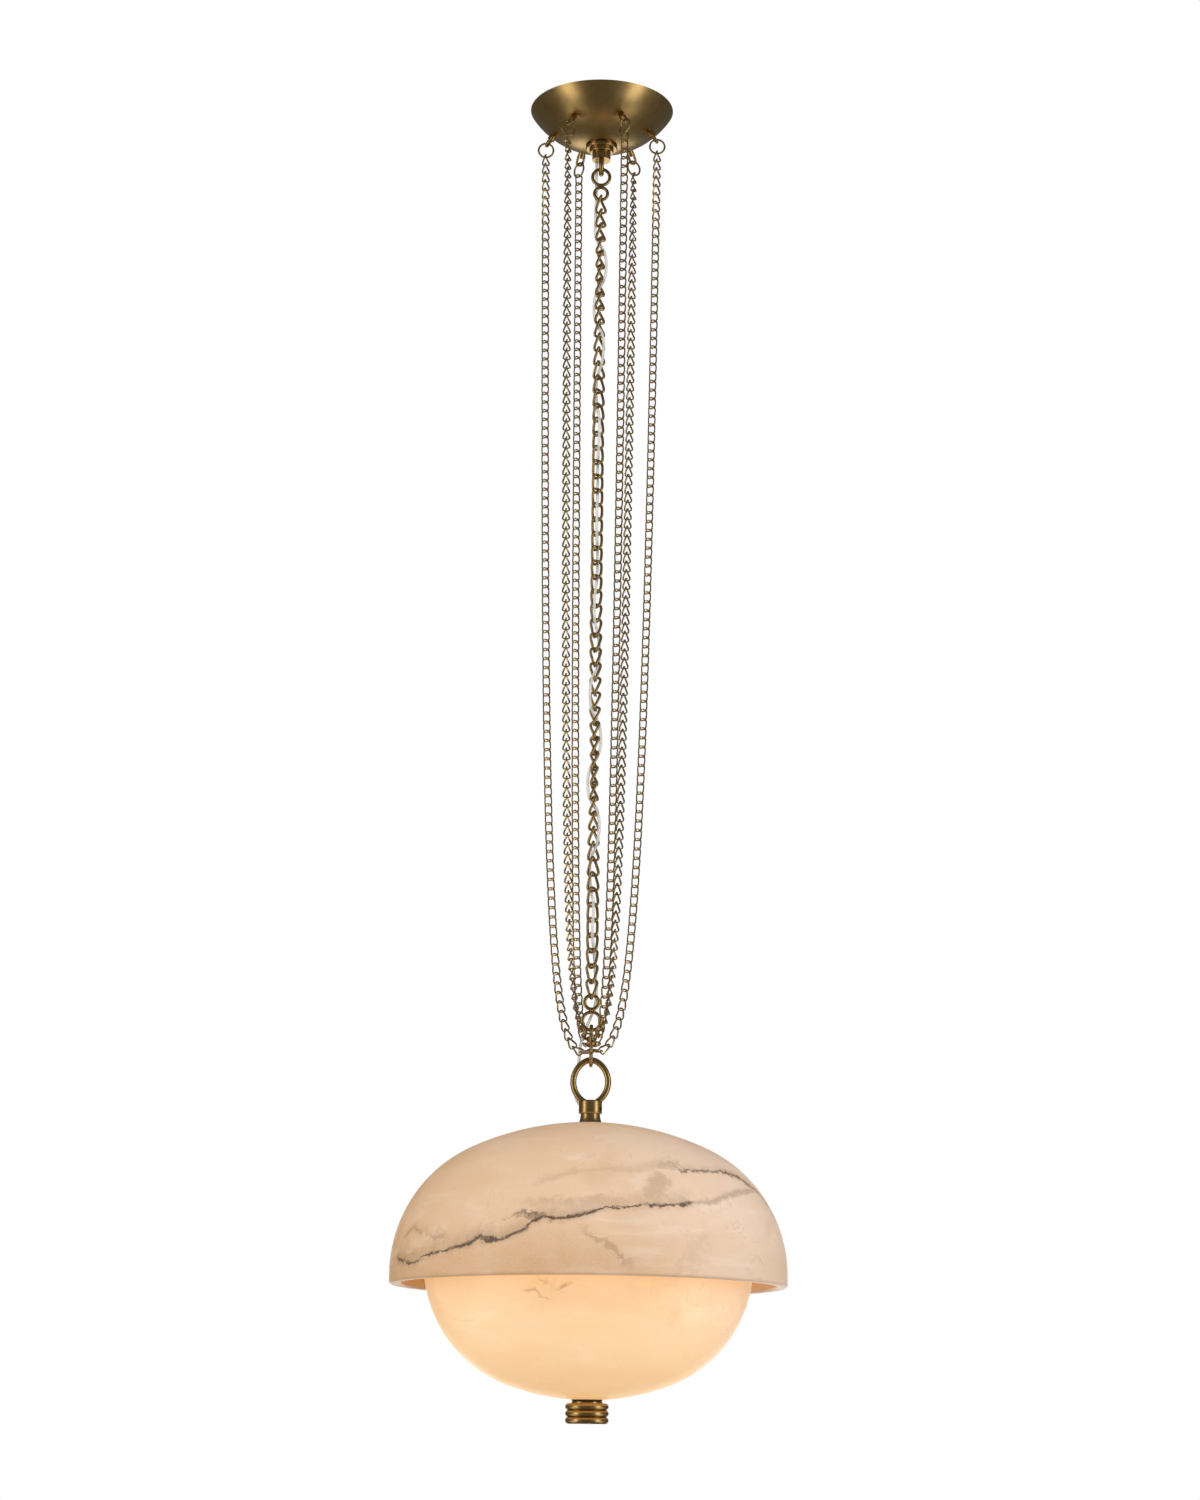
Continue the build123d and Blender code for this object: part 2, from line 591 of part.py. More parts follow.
def cable_weave():
    """The cable's points down the chain: two links along one face, then through to the other."""
    side = 1
    for i in range(1, MAIN_LINKS - 1, CABLE_EVERY):
        yield cable_joint(i, side)
        yield cable_joint(i + CABLE_EVERY - 1, side)
        side = -side


def power_cable():
    points = [*CABLE_HEAD, *cable_weave(), *CABLE_TAIL]
    radii = []
    for before, at, after in zip(points, points[1:], points[2:]):
        run_in = Vector(*at) - Vector(*before)
        run_out = Vector(*after) - Vector(*at)
        shorter = min(run_in.length, run_out.length)
        radii.append(CABLE_ARC_SHARE * shorter / math.tan(math.radians(run_in.get_angle(run_out) / 2)))
    path = FilletPolyline(*points, radius=radii)
    cable = tube_on(path, CABLE_R)
    filled = cable.volume / (math.pi * CABLE_R**2 * path.length)
    print(f"cable length {path.length:.1f}, radii from {min(radii):.1f}, volume share {filled:.4f}")
    return cable


# Lamp loop, neck and stem
def lamp_loop():
    middle = (LAMP_LOOP_TOP_Z + LAMP_LOOP_FOOT_Z) / 2
    hub = disc(HUB_R, HUB_TOP_Z, HUB_H)
    hub = fillet(hub.edges().filter_by(GeomType.CIRCLE), HUB_ROUND)
    loop = four_arc_oval(LAMP_LOOP_WIDTH, LAMP_LOOP_HEIGHT, LAMP_LOOP_END_R, LAMP_LOOP_WIRE_R)
    hub += Pos(0, 0, middle) * loop
    hub -= disc(TUBE_HOLE_R, STEM_TOP_Z + THREAD_GAP, STEM_IN_HUB + THREAD_GAP)
    hub -= grub_bar(GRUB_R + THREAD_GAP, HUB_R)
    return hub - bar(CABLE_TAIL[-1], CABLE_TAIL[-2], CABLE_R + CABLE_HOLE_GAP)


def grub_bar(radius, outer_r):
    """A bar from the stem's face out to a radius, in the direction of the grub screw."""
    way = Vector(1, 0, 0).rotate(Axis.Z, GRUB_ANGLE)
    level = Vector(0, 0, HUB_TOP_Z - GRUB_DROP)
    return bar(level + way * TUBE_HOLE_R, level + way * outer_r, radius)


def grub_screw():
    return grub_bar(GRUB_R, TUBE_HOLE_R + GRUB_LENGTH)


def neck_collar():
    flare = TangentArc((NECK_TOP_R, HUB_FOOT_Z), (NECK_FOOT_R, NECK_FOOT_Z), tangent=(0, -1))
    rest = Polyline((NECK_FOOT_R, NECK_FOOT_Z), (TUBE_HOLE_R, NECK_FOOT_Z), (TUBE_HOLE_R, HUB_FOOT_Z),
                    (NECK_TOP_R, HUB_FOOT_Z))
    return turned([flare, rest])


def stem():
    return disc(TUBE_R, STEM_TOP_Z, STEM_TOP_Z - STEM_FOOT_Z, TUBE_BORE_R)


# Dome and bowl
def crowned_shell(radius, height, crown_r, wall, skirt):
    """A dome with its top at the origin: a crown arc, a shoulder arc tangent to it, and an upright skirt.

    The shoulder's radius follows from the crown's: where the arcs touch,
    their centres and that point are in line.
    """
    arch = height - skirt
    shoulder_r = (2 * crown_r * arch - arch**2 - radius**2) / (2 * (crown_r - radius))
    lean = math.degrees(math.asin((radius - shoulder_r) / (crown_r - shoulder_r)))
    outline = []
    for inset in (0, wall):
        crown = CenterArc((0, -crown_r), crown_r - inset, 90 - lean, lean)
        shoulder = CenterArc((radius - shoulder_r, -arch), shoulder_r - inset, 0, 90 - lean)
        side = Line((radius - inset, -arch), (radius - inset, -height))
        outline += [crown, shoulder, side]
    rim = Line((radius, -height), (radius - wall, -height))
    axis_line = Line((0, 0), (0, -wall))
    return turned([*outline, rim, axis_line])


def dome():
    shell = crowned_shell(DOME_R, DOME_H, DOME_CROWN_R, DOME_WALL, DOME_SKIRT)
    rim = shell.edges().sort_by(Axis.Z)[:2]
    shell = Pos(0, 0, DOME_TOP_Z) * fillet(rim, DOME_ROUND)
    shell += disc(DOME_WASHER_R, DOME_INNER_SEAT_Z + DOME_WALL / 2, DOME_WALL / 2)
    shell -= disc(NECK_FOOT_R, DOME_TOP_Z, DOME_TOP_Z - DOME_SEAT_Z)
    return shell - disc(DOME_HOLE_R, DOME_TOP_Z, DOME_TOP_Z - DOME_INNER_SEAT_Z)


def dome_gasket():
    return disc(NECK_FOOT_R, NECK_FOOT_Z, DOME_GASKET_H, TUBE_HOLE_R)


def dome_pad():
    return disc(DOME_PAD_R, DOME_INNER_SEAT_Z, DOME_PAD_H, TUBE_HOLE_R)


def dome_washer():
    return disc(DOME_WASHER_R, DOME_INNER_SEAT_Z - DOME_PAD_H, DOME_WASHER_H, TUBE_HOLE_R)


def tube_nut(top):
    return Pos(0, 0, top) * hex_nut(TUBE_NUT_AF, TUBE_NUT_H, TUBE_HOLE_R)


def bowl():
    shell = crowned_shell(BOWL_R, BOWL_H, BOWL_CROWN_R, BOWL_WALL, BOWL_SKIRT)
    rim = shell.edges().sort_by(Axis.Z)[:2]
    shell = Pos(0, 0, BOWL_FOOT_Z) * Rot(180, 0, 0) * fillet(rim, BOWL_ROUND)
    shell += disc(BOWL_STOP_WASHER_R, BOWL_INNER_SEAT_Z, BOWL_WALL / 2)
    shell -= disc(FINIAL_WASHER_R, BOWL_SEAT_Z, BOWL_SEAT_Z - BOWL_FOOT_Z)
    return shell - disc(BOWL_HOLE_R, BOWL_INNER_SEAT_Z, BOWL_INNER_SEAT_Z - BOWL_FOOT_Z)


def bowl_stop_washer():
    return disc(BOWL_STOP_WASHER_R, BOWL_INNER_SEAT_Z + BOWL_STOP_WASHER_H, BOWL_STOP_WASHER_H, TUBE_HOLE_R)


def bowl_pad():
    return disc(FINIAL_WASHER_R, BOWL_SEAT_Z, BOWL_PAD_H, BOWL_HOLE_R)


def finial_washer():
    washer = disc(FINIAL_WASHER_R, FINIAL_WASHER_TOP_Z, FINIAL_WASHER_H)
    washer = chamfer(washer.edges().sort_by(Axis.Z)[-1], FINIAL_WASHER_CHAMFER)
    return washer - disc(TUBE_HOLE_R, FINIAL_WASHER_TOP_Z, FINIAL_WASHER_H)


def finial():
    """Three ribs, each an arc between grooves, with a blind hole for the stem."""
    outline = []
    for i in range(FINIAL_RIBS):
        top = FINIAL_TOP_Z - i * FINIAL_RIB_H
        start = (FINIAL_GROOVE_R, top)
        crest = (FINIAL_R, top - FINIAL_RIB_H / 2)
        outline.append(ThreePointArc(start, crest, (FINIAL_GROOVE_R, top - FINIAL_RIB_H)))
    outline.append(Polyline((FINIAL_GROOVE_R, FINIAL_FOOT_Z), (0, FINIAL_FOOT_Z), (0, FINIAL_TOP_Z),
                            (FINIAL_GROOVE_R, FINIAL_TOP_Z)))
    return turned(outline) - disc(TUBE_HOLE_R, FINIAL_TOP_Z, STEM_IN_FINIAL + SEAT_GAP)


# Bracket, lampholders and bulbs
def lamp_places(height=0.0):
    return list(round_places(LAMP_COUNT, LAMP_FIRST_ANGLE, LAMP_CIRCLE_R, height))


def lamp_bracket():
    plate = disc(BRACKET_HUB_R, BRACKET_Z, BRACKET_THICK)
    arm = Box(LAMP_CIRCLE_R, BRACKET_ARM_WIDTH, BRACKET_THICK)
    arm = Pos(LAMP_CIRCLE_R / 2, 0, BRACKET_Z - BRACKET_THICK / 2) * arm
    end = Pos(LAMP_CIRCLE_R, 0, 0) * disc(BRACKET_ARM_WIDTH / 2, BRACKET_Z, BRACKET_THICK)
    for i in range(LAMP_COUNT):
        plate += Rot(0, 0, LAMP_FIRST_ANGLE + i * 360 / LAMP_COUNT) * (arm + end)
    plate -= disc(TUBE_HOLE_R, BRACKET_Z, BRACKET_THICK)
    for place in lamp_places():
        plate -= place * disc(HOLDER_SCREW_R + THREAD_GAP, BRACKET_Z, BRACKET_THICK)
    return plate


def lampholder(place):
    """A round push-in holder under the bracket, with two pin holes in its foot."""
    top = BRACKET_Z - BRACKET_THICK
    body = disc(HOLDER_R, top, HOLDER_H)
    body = fillet(body.edges().sort_by(Axis.Z)[0], HOLDER_ROUND)
    body -= disc(HOLDER_SCREW_R + THREAD_GAP, top, HOLDER_SCREW_LENGTH - BRACKET_THICK + SEAT_GAP)
    for y in (-PIN_SPACING / 2, PIN_SPACING / 2):
        body -= Pos(0, y, 0) * disc(PIN_R + THREAD_GAP, top - HOLDER_H + PIN_LENGTH, PIN_LENGTH)
    return place * body


def holder_screw(place):
    head = disc(HOLDER_HEAD_R, BRACKET_Z + HOLDER_HEAD_H, HOLDER_HEAD_H)
    head = fillet(head.edges().sort_by(Axis.Z)[-1], HOLDER_HEAD_ROUND)
    return place * (head + disc(HOLDER_SCREW_R, BRACKET_Z, HOLDER_SCREW_LENGTH))


def bulb_base(place):
    """A push-in base with its two pins up in the holder."""
    top = BRACKET_Z - BRACKET_THICK - HOLDER_H - SEAT_GAP
    base = disc(BULB_BASE_R, top, BULB_BASE_H)
    base = fillet(base.edges().filter_by(GeomType.CIRCLE), BULB_BASE_ROUND)
    for y in (-PIN_SPACING / 2, PIN_SPACING / 2):
        base += Pos(0, y, 0) * disc(PIN_R, top + PIN_LENGTH - SEAT_GAP, PIN_LENGTH)
    return place * base


def bulb_glass(place):
    """A capsule hanging from the base, rounded at its foot."""
    top = BRACKET_Z - BRACKET_THICK - HOLDER_H - SEAT_GAP - BULB_BASE_H
    foot = top - BULB_LENGTH
    end = CenterArc((0, foot + BULB_R), BULB_R, -90, 90)
    side = Polyline((BULB_R, foot + BULB_R), (BULB_R, top), (0, top), (0, foot))
    return place * turned([end, side])


def all_pieces():
    """Every piece by its name."""
    pieces = {
        "ceiling_canopy": ceiling_canopy(),
        "crossbar": crossbar(),
        "earth_screw": earth_screw(),
        "threaded_nipple": threaded_nipple(),
        "nipple_nut": tube_nut(-BAR_THICK),
        "canopy_loop": canopy_loop(),
        "eye_studs": group(place * eye_stud() for place in eye_places()),
        "eye_nuts": group(place * eye_nut() for place in eye_places()),
        "hanging_rings": group(hanging_ring(i) for i in range(EYE_COUNT)),
        "slip_washer": slip_washer(),
        "screw_collar": screw_collar(),
        "upper_connector": figure_eight(UPPER_LARGE_Z, UPPER_SMALL_Z),
        "main_chain": main_chain(),
        "power_cable": power_cable(),
        "lower_connector": figure_eight(LOWER_LARGE_Z, LOWER_SMALL_Z),
        "gather_link": gather_link(),
        "gather_rings": group(gather_ring(i) for i in range(EYE_COUNT)),
        "lamp_loop": lamp_loop(),
        "grub_screw": grub_screw(),
        "neck_collar": neck_collar(),
        "stem": stem(),
        "dome_gasket": dome_gasket(),
        "dome": dome(),
        "dome_pad": dome_pad(),
        "dome_washer": dome_washer(),
        "dome_nut": tube_nut(DOME_NUT_TOP_Z),
        "lamp_bracket": lamp_bracket(),
        "bracket_nuts": group([tube_nut(BRACKET_Z + TUBE_NUT_H), tube_nut(BRACKET_Z - BRACKET_THICK)]),
        "holder_screws": group(holder_screw(place) for place in lamp_places()),
        "bowl_stop_washer": bowl_stop_washer(),
        "bowl_stop_nut": tube_nut(BOWL_INNER_SEAT_Z + BOWL_STOP_WASHER_H + TUBE_NUT_H),
        "bowl": bowl(),
        "bowl_pad": bowl_pad(),
        "finial_washer": finial_washer(),
        "finial": finial(),
    }
    for i in range(EYE_COUNT):
        pieces[f"dress_chain_{i + 1}"] = dress_chain(i)
    for i, place in enumerate(lamp_places()):
        pieces[f"lampholder_{i + 1}"] = lampholder(place)
        pieces[f"bulb_base_{i + 1}"] = bulb_base(place)
        pieces[f"bulb_glass_{i + 1}"] = bulb_glass(place)
    return pieces


os.makedirs("parts", exist_ok=True)
for name, piece in all_pieces().items():
    export_step(piece, f"parts/{name}.step")
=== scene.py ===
"""Dresses a pendant light of alabaster and antique brass: stone, chains, cable, finishes and stage."""

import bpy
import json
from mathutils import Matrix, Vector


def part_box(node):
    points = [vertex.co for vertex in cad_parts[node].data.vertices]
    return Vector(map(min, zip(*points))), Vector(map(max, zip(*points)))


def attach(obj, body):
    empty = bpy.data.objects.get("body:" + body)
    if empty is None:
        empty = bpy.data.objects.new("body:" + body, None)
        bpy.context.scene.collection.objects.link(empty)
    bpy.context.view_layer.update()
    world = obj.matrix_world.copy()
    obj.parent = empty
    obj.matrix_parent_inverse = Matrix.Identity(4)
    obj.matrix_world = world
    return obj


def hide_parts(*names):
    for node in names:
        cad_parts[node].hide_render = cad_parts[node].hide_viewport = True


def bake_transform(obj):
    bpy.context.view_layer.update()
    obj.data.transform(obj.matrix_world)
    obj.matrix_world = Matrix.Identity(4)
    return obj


bl_info = {
    "name": "Alabaster Pendant Light",
    "version": (1, 0, 0),
    "blender": (4, 5, 0),
    "location": "3D View > Sidebar > Pendant Light",
    "description": "Stone dome and bowl, dress chains, cable, finishes and stage of a pendant light",
    "category": "Object",
}

import json
import math

import bpy
import numpy as np
from bpy.props import FloatProperty, FloatVectorProperty, PointerProperty
from mathutils import Matrix

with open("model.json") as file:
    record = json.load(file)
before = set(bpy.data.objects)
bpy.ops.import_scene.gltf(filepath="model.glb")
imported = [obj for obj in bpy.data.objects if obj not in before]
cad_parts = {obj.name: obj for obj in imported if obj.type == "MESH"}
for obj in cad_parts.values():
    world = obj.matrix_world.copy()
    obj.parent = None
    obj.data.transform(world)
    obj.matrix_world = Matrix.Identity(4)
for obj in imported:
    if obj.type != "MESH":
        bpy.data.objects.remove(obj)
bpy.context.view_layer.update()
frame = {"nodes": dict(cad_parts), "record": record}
NODES = frame["nodes"]
SLOT_OF = {part["node"]: part["material_slot"] for part in frame["record"]["subparts"]}

# The chain's turn in degrees at shares of its length
CHAIN_TURNS = ((0.0, 0.07, 0.14, 0.26, 0.36, 0.5, 0.74, 0.9, 1.0), (45, 80, 72, 20, 0, -8, -90, -172, -225))
CHAIN_LINKS = 55
CHAIN_PITCH = 0.013

# Sizes of what hangs between the canopy and the lamp, to the middle of each wire, with the wires' radii
HANG_GAP, CHAIN_GAP = 0.0003, 0.0004
BARREL_BELOW_CANOPY = 0.0138
CANOPY_LOOP, CANOPY_LOOP_WIRE, CANOPY_LOOP_SINK = 0.0065, 0.00225, 0.003
EIGHT_LARGE, EIGHT_SMALL, EIGHT_WIRE, EIGHT_SINK = 0.0076, 0.0058, 0.00145, 0.0005
GATHER_LENGTH, GATHER_WIRE = 0.0326, 0.00155
LAMP_LOOP_HEIGHT, LAMP_LOOP_WIRE, LAMP_LOOP_SINK = 0.036, 0.00255, 0.005

# Hanging heights, each from the one above it
BARREL_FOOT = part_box("ceiling_canopy")[0].z - BARREL_BELOW_CANOPY
CANOPY_HOOK = BARREL_FOOT + CANOPY_LOOP_SINK - CANOPY_LOOP_WIRE - 2 * CANOPY_LOOP
EIGHT_SPAN = EIGHT_LARGE + EIGHT_SMALL + 2 * EIGHT_WIRE - EIGHT_SINK
UPPER_LARGE = CANOPY_HOOK + CANOPY_LOOP_WIRE + EIGHT_WIRE + HANG_GAP - EIGHT_LARGE
UPPER_SMALL = UPPER_LARGE - EIGHT_SPAN
CHAIN_TOP = UPPER_SMALL - EIGHT_SMALL + EIGHT_WIRE + HANG_GAP - CHAIN_GAP / 2
CHAIN_FOOT = CHAIN_TOP - CHAIN_LINKS * CHAIN_PITCH
LOWER_SMALL = CHAIN_FOOT + EIGHT_WIRE + HANG_GAP - CHAIN_GAP / 2 - EIGHT_SMALL
LOWER_LARGE = LOWER_SMALL - EIGHT_SPAN
LOWER_HOOK = LOWER_LARGE - EIGHT_LARGE
GATHER_TOP = LOWER_HOOK + EIGHT_WIRE + GATHER_WIRE + HANG_GAP
GATHER_FOOT = GATHER_TOP - GATHER_LENGTH
LAMP_LOOP_TOP = GATHER_FOOT + GATHER_WIRE + LAMP_LOOP_WIRE + HANG_GAP
HUB_TOP = LAMP_LOOP_TOP - LAMP_LOOP_HEIGHT - LAMP_LOOP_WIRE + LAMP_LOOP_SINK

# Dress chains: six tops round the canopy, the turn of each top ring and of each chain's face, and the links
# over which a chain turns from its ring to its face
DRESS_COUNT = 6
RAMP_LINKS = 14
DRESS_FIRST_ANGLE = -6.0
RING_TURNS = (8.0, -20.0, 15.0, 8.0, -22.0, 15.0)
DRESS_FACES = (-4.0, 38.0, 6.0, 3.0, 52.0, -8.0)

# Gather rings: their levels on a leg, counted from the top, and the tilt in degrees at each level
GATHER_LEVELS = (2, 0, 1)
GATHER_TILTS = (24, 10, -4)
GATHER_LEG_Y, GATHER_FIRST, GATHER_STEP, GATHER_STAGGER = 0.0055, 0.009, 0.0052, 0.0024
GATHER_RING_REACH, GATHER_RING_PLAY, CHAIN_LEAD = 0.0109, 0.00155, 0.0009

# The photograph's frame in pixels, and the camera's side in mm. Places read off the photograph are
# carried onto the stone along rays, each followed in steps from before the axis to past it, in metres.
PHOTO_WIDTH, PHOTO_HEIGHT = 1200, 1500
CAMERA_SIDE = 36.0
RAY_BEFORE, RAY_PAST, RAY_STEPS = 0.3, 0.1, 8001

# Veins seen on the dome and the bowl, as places on the photograph
MAIN_CRACK = ((397, 1258), (407, 1263), (419, 1262), (421, 1256), (442, 1252), (460, 1245), (472, 1243),
              (475, 1236), (482, 1239), (501, 1240), (513, 1234), (525, 1229), (533, 1221), (541, 1217),
              (564, 1218), (588, 1213), (607, 1207), (622, 1209), (637, 1206), (657, 1205), (680, 1205),
              (693, 1202))
FADING_CRACK = ((693, 1202), (712, 1202), (725, 1196), (739, 1192), (755, 1190))
RIGHT_CRACK = ((670, 1162), (682, 1171), (700, 1171), (725, 1172), (738, 1177), (755, 1190),
               (766, 1203), (775, 1220))
SLANT_SMEAR = ((584, 1228), (591, 1236), (605, 1243), (615, 1251), (631, 1263))
CLOUD_LINE = ((535, 1184), (554, 1178), (572, 1172), (607, 1169), (637, 1170), (669, 1162))
SMALL_CRACK = ((512, 1217), (516, 1213), (527, 1211), (540, 1215))
LEFT_CRACK = ((406, 1236), (413, 1227), (422, 1232), (433, 1238), (445, 1236))
BOWL_LEFT_CRACK = ((524, 1291), (533, 1290), (538, 1290), (541, 1299), (551, 1299))
BOWL_TOP_CRACK = ((539, 1274), (541, 1282), (548, 1282), (552, 1290))
BOWL_RIGHT_CRACK = ((554, 1290), (559, 1289), (564, 1285), (571, 1283))

# Veins of the unseen back: share of the way round, share of the height
DOME_BACK_CRACK = ((0.02, 0.62), (0.09, 0.52), (0.15, 0.55), (0.21, 0.38), (0.26, 0.30))
BOWL_BACK_CRACK = ((0.80, 0.62), (0.85, 0.56), (0.89, 0.60), (0.95, 0.47))

# Each seen vein's line, its dark core's width and strength, and the reach and strength of the smoke over it
DOME_VEINS = (
    (MAIN_CRACK, 0.016, 1.0, 0.12, 0.55),
    (FADING_CRACK, 0.02, 0.3, 0.05, 0.2),
    (RIGHT_CRACK, 0.014, 0.8, 0.07, 0.5),
    (SLANT_SMEAR, 0.05, 0.32, 0.03, 0.0),
    (CLOUD_LINE, 0.03, 0.1, 0.08, 0.16),
    (SMALL_CRACK, 0.014, 0.7, 0.04, 0.35),
    (LEFT_CRACK, 0.018, 0.3, 0.06, 0.3),
)
BOWL_VEINS = (
    (BOWL_LEFT_CRACK, 0.014, 0.42, 0.05, 0.22),
    (BOWL_TOP_CRACK, 0.016, 0.36, 0.05, 0.2),
    (BOWL_RIGHT_CRACK, 0.014, 0.4, 0.05, 0.2),
)
DOME_BACK_VEIN = (DOME_BACK_CRACK, 0.014, 0.8, 0.1, 0.45)
BOWL_BACK_VEIN = (BOWL_BACK_CRACK, 0.014, 0.35, 0.06, 0.2)

# Smoky patches: middle on the photograph, reach round and up as shares, strength
DOME_PATCHES = (
    ((541, 1215), (0.026, 0.035), 0.85),
    ((654, 1195), (0.013, 0.07), 0.4),
    ((659, 1182), (0.014, 0.08), 0.42),
    ((669, 1165), (0.022, 0.04), 0.4),
    ((588, 1204), (0.06, 0.06), 0.35),
    ((409, 1259), (0.03, 0.05), 0.35),
    ((482, 1236), (0.03, 0.04), 0.3),
    ((737, 1177), (0.014, 0.03), 0.7),
)
BOWL_PATCHES = (((546, 1288), (0.03, 0.07), 0.12),)
DOME_BACK_PATCH = ((0.11, 0.50), (0.05, 0.09), 0.4)
BOWL_BACK_PATCH = ((0.88, 0.56), (0.06, 0.08), 0.15)

# Share of the way round over which a vein fades at its ends
VEIN_FADE = 0.008

# Middle of the lamps' glow in each stone, and the distance at which the glow is halved
DOME_GLOW_AT, BOWL_GLOW_AT = (0.0, -0.02, -1.04), (-0.005, -0.05, -1.07)
GLOW_REACH = 0.11
MILK = (0.86, 0.75, 0.63, 1.0)
SPARKLE = (0.9, 0.82, 0.74, 1.0)
BLACK, WHITE = (0.0, 0.0, 0.0, 1.0), (1.0, 1.0, 1.0, 1.0)


def length_setting(name, description, default):
    return FloatProperty(name=name, description=description, default=default, unit="LENGTH")


def colour_setting(name, description, default):
    return FloatVectorProperty(name=name, description=description, default=default, subtype="COLOR")


class StoneSettings(bpy.types.PropertyGroup):
    """Sizes of the alabaster dome and bowl."""

    dome_radius: length_setting("Dome radius", "Outside of the skirt", 0.1615)
    dome_height: length_setting("Dome height", "Rim to top", 0.132)
    dome_crown: length_setting("Dome crown", "Radius of the top's arc", 0.23)
    dome_wall: length_setting("Dome wall", "Thickness of the stone", 0.009)
    dome_skirt: length_setting("Dome skirt", "Upright edge", 0.01)
    dome_round: length_setting("Dome rim", "Rounding of the rim", 0.0025)
    dome_seat: length_setting("Dome seat", "Radius under the washer", 0.021)
    dome_top_seat: length_setting("Neck seat", "Radius under the neck", 0.0095)
    bowl_radius: length_setting("Bowl radius", "Outside of the rim", 0.134)
    bowl_height: length_setting("Bowl height", "Foot to rim", 0.11)
    bowl_crown: length_setting("Bowl crown", "Radius of the foot's arc", 0.19)
    bowl_wall: length_setting("Bowl wall", "Thickness of the stone", 0.008)
    bowl_skirt: length_setting("Bowl skirt", "Upright edge", 0.0005)
    bowl_round: length_setting("Bowl rim", "Rounding of the rim", 0.002)
    bowl_seat: length_setting("Bowl seat", "Radius under the washer", 0.018)
    bowl_foot_seat: length_setting("Finial seat", "Radius on the finial", 0.0125)
    hole: length_setting("Hole", "Radius of the hole for the stem", 0.0056)


class ChainSettings(bpy.types.PropertyGroup):
    """Sizes of the dress chains and the main chain."""

    pitch: length_setting("Pitch", "Length that a link adds", 0.008)
    width: length_setting("Width", "Width of a link", 0.0067)
    wire: length_setting("Wire", "Radius of the wire", 0.00063)
    gap: length_setting("Gap", "Between neighbouring links", 0.0004)
    end_slope: FloatProperty(name="End slope", description="At the gather ring, in degrees", default=20.0)
    reach: length_setting("Reach", "Radius of the circle of tops", 0.04981)
    main_width: length_setting("Main width", "Width of a main link", 0.0102)
    main_wire: length_setting("Main wire", "Radius of its wire", 0.0011)
    top: length_setting("Top", "Height of the tops", -0.04122)


class CableSettings(bpy.types.PropertyGroup):
    """Sizes of the power cable."""

    radius: length_setting("Radius", "Half the cable's thickness", 0.0013)
    offset: length_setting("Offset", "From the chain's middle", 0.0055)


class FinishSettings(bpy.types.PropertyGroup):
    """Colours of the finishes."""

    brass_dark: colour_setting("Brass, dark", "Patina", (0.28, 0.172, 0.05))
    brass_light: colour_setting("Brass, light", "Rubbed metal", (0.51, 0.345, 0.135))
    stone_tan: colour_setting("Stone, tan", "Darker stone", (0.72, 0.46, 0.265))
    # The next colour is the painted shade that darkens the stone by its lower edge
    stone_rim_shade: colour_setting("Stone, deep", "Stone by the rim", (0.56, 0.33, 0.16))
    stone_pale: colour_setting("Stone, pale", "Paler stone", (0.82, 0.655, 0.55))
    vein: colour_setting("Vein", "Cracks in the stone", (0.10, 0.05, 0.018))
    smoke: colour_setting("Smoke", "Stain round the cracks", (0.34, 0.205, 0.105))
    glow: colour_setting("Glow", "Light through the stone", (0.50, 0.28, 0.075))
    steel: colour_setting("Steel", "Plated steel", (0.52, 0.52, 0.53))
    porcelain: colour_setting("Porcelain", "Lampholders", (0.82, 0.8, 0.74))
    rubber: colour_setting("Rubber", "Pads", (0.03, 0.03, 0.03))
    cable: colour_setting("Cable", "Clear sheath", (0.90, 0.89, 0.80))
    bulb: colour_setting("Bulb", "Lit frosted glass", (1.0, 0.72, 0.42))


class StageSettings(bpy.types.PropertyGroup):
    """Camera and lights."""

    lens: FloatProperty(name="Lens", description="Focal length in mm on a 36 mm side", default=70.34)
    distance: length_setting("Distance", "Camera to the light's axis", 2.413)
    eye: length_setting("Eye level", "Height below the ceiling", -1.1708)
    side: length_setting("Side", "Camera to the right", 0.0046)
    pitch: FloatProperty(name="Pitch", description="Camera tilt", default=math.radians(13.6), unit="ROTATION")
    roll: FloatProperty(name="Roll", description="Camera roll", default=math.radians(0.64), unit="ROTATION")
    side_light: FloatProperty(name="Side lights", description="Watts of the left one", default=13.5)
    front_light: FloatProperty(name="Front light", description="Watts", default=54.0)


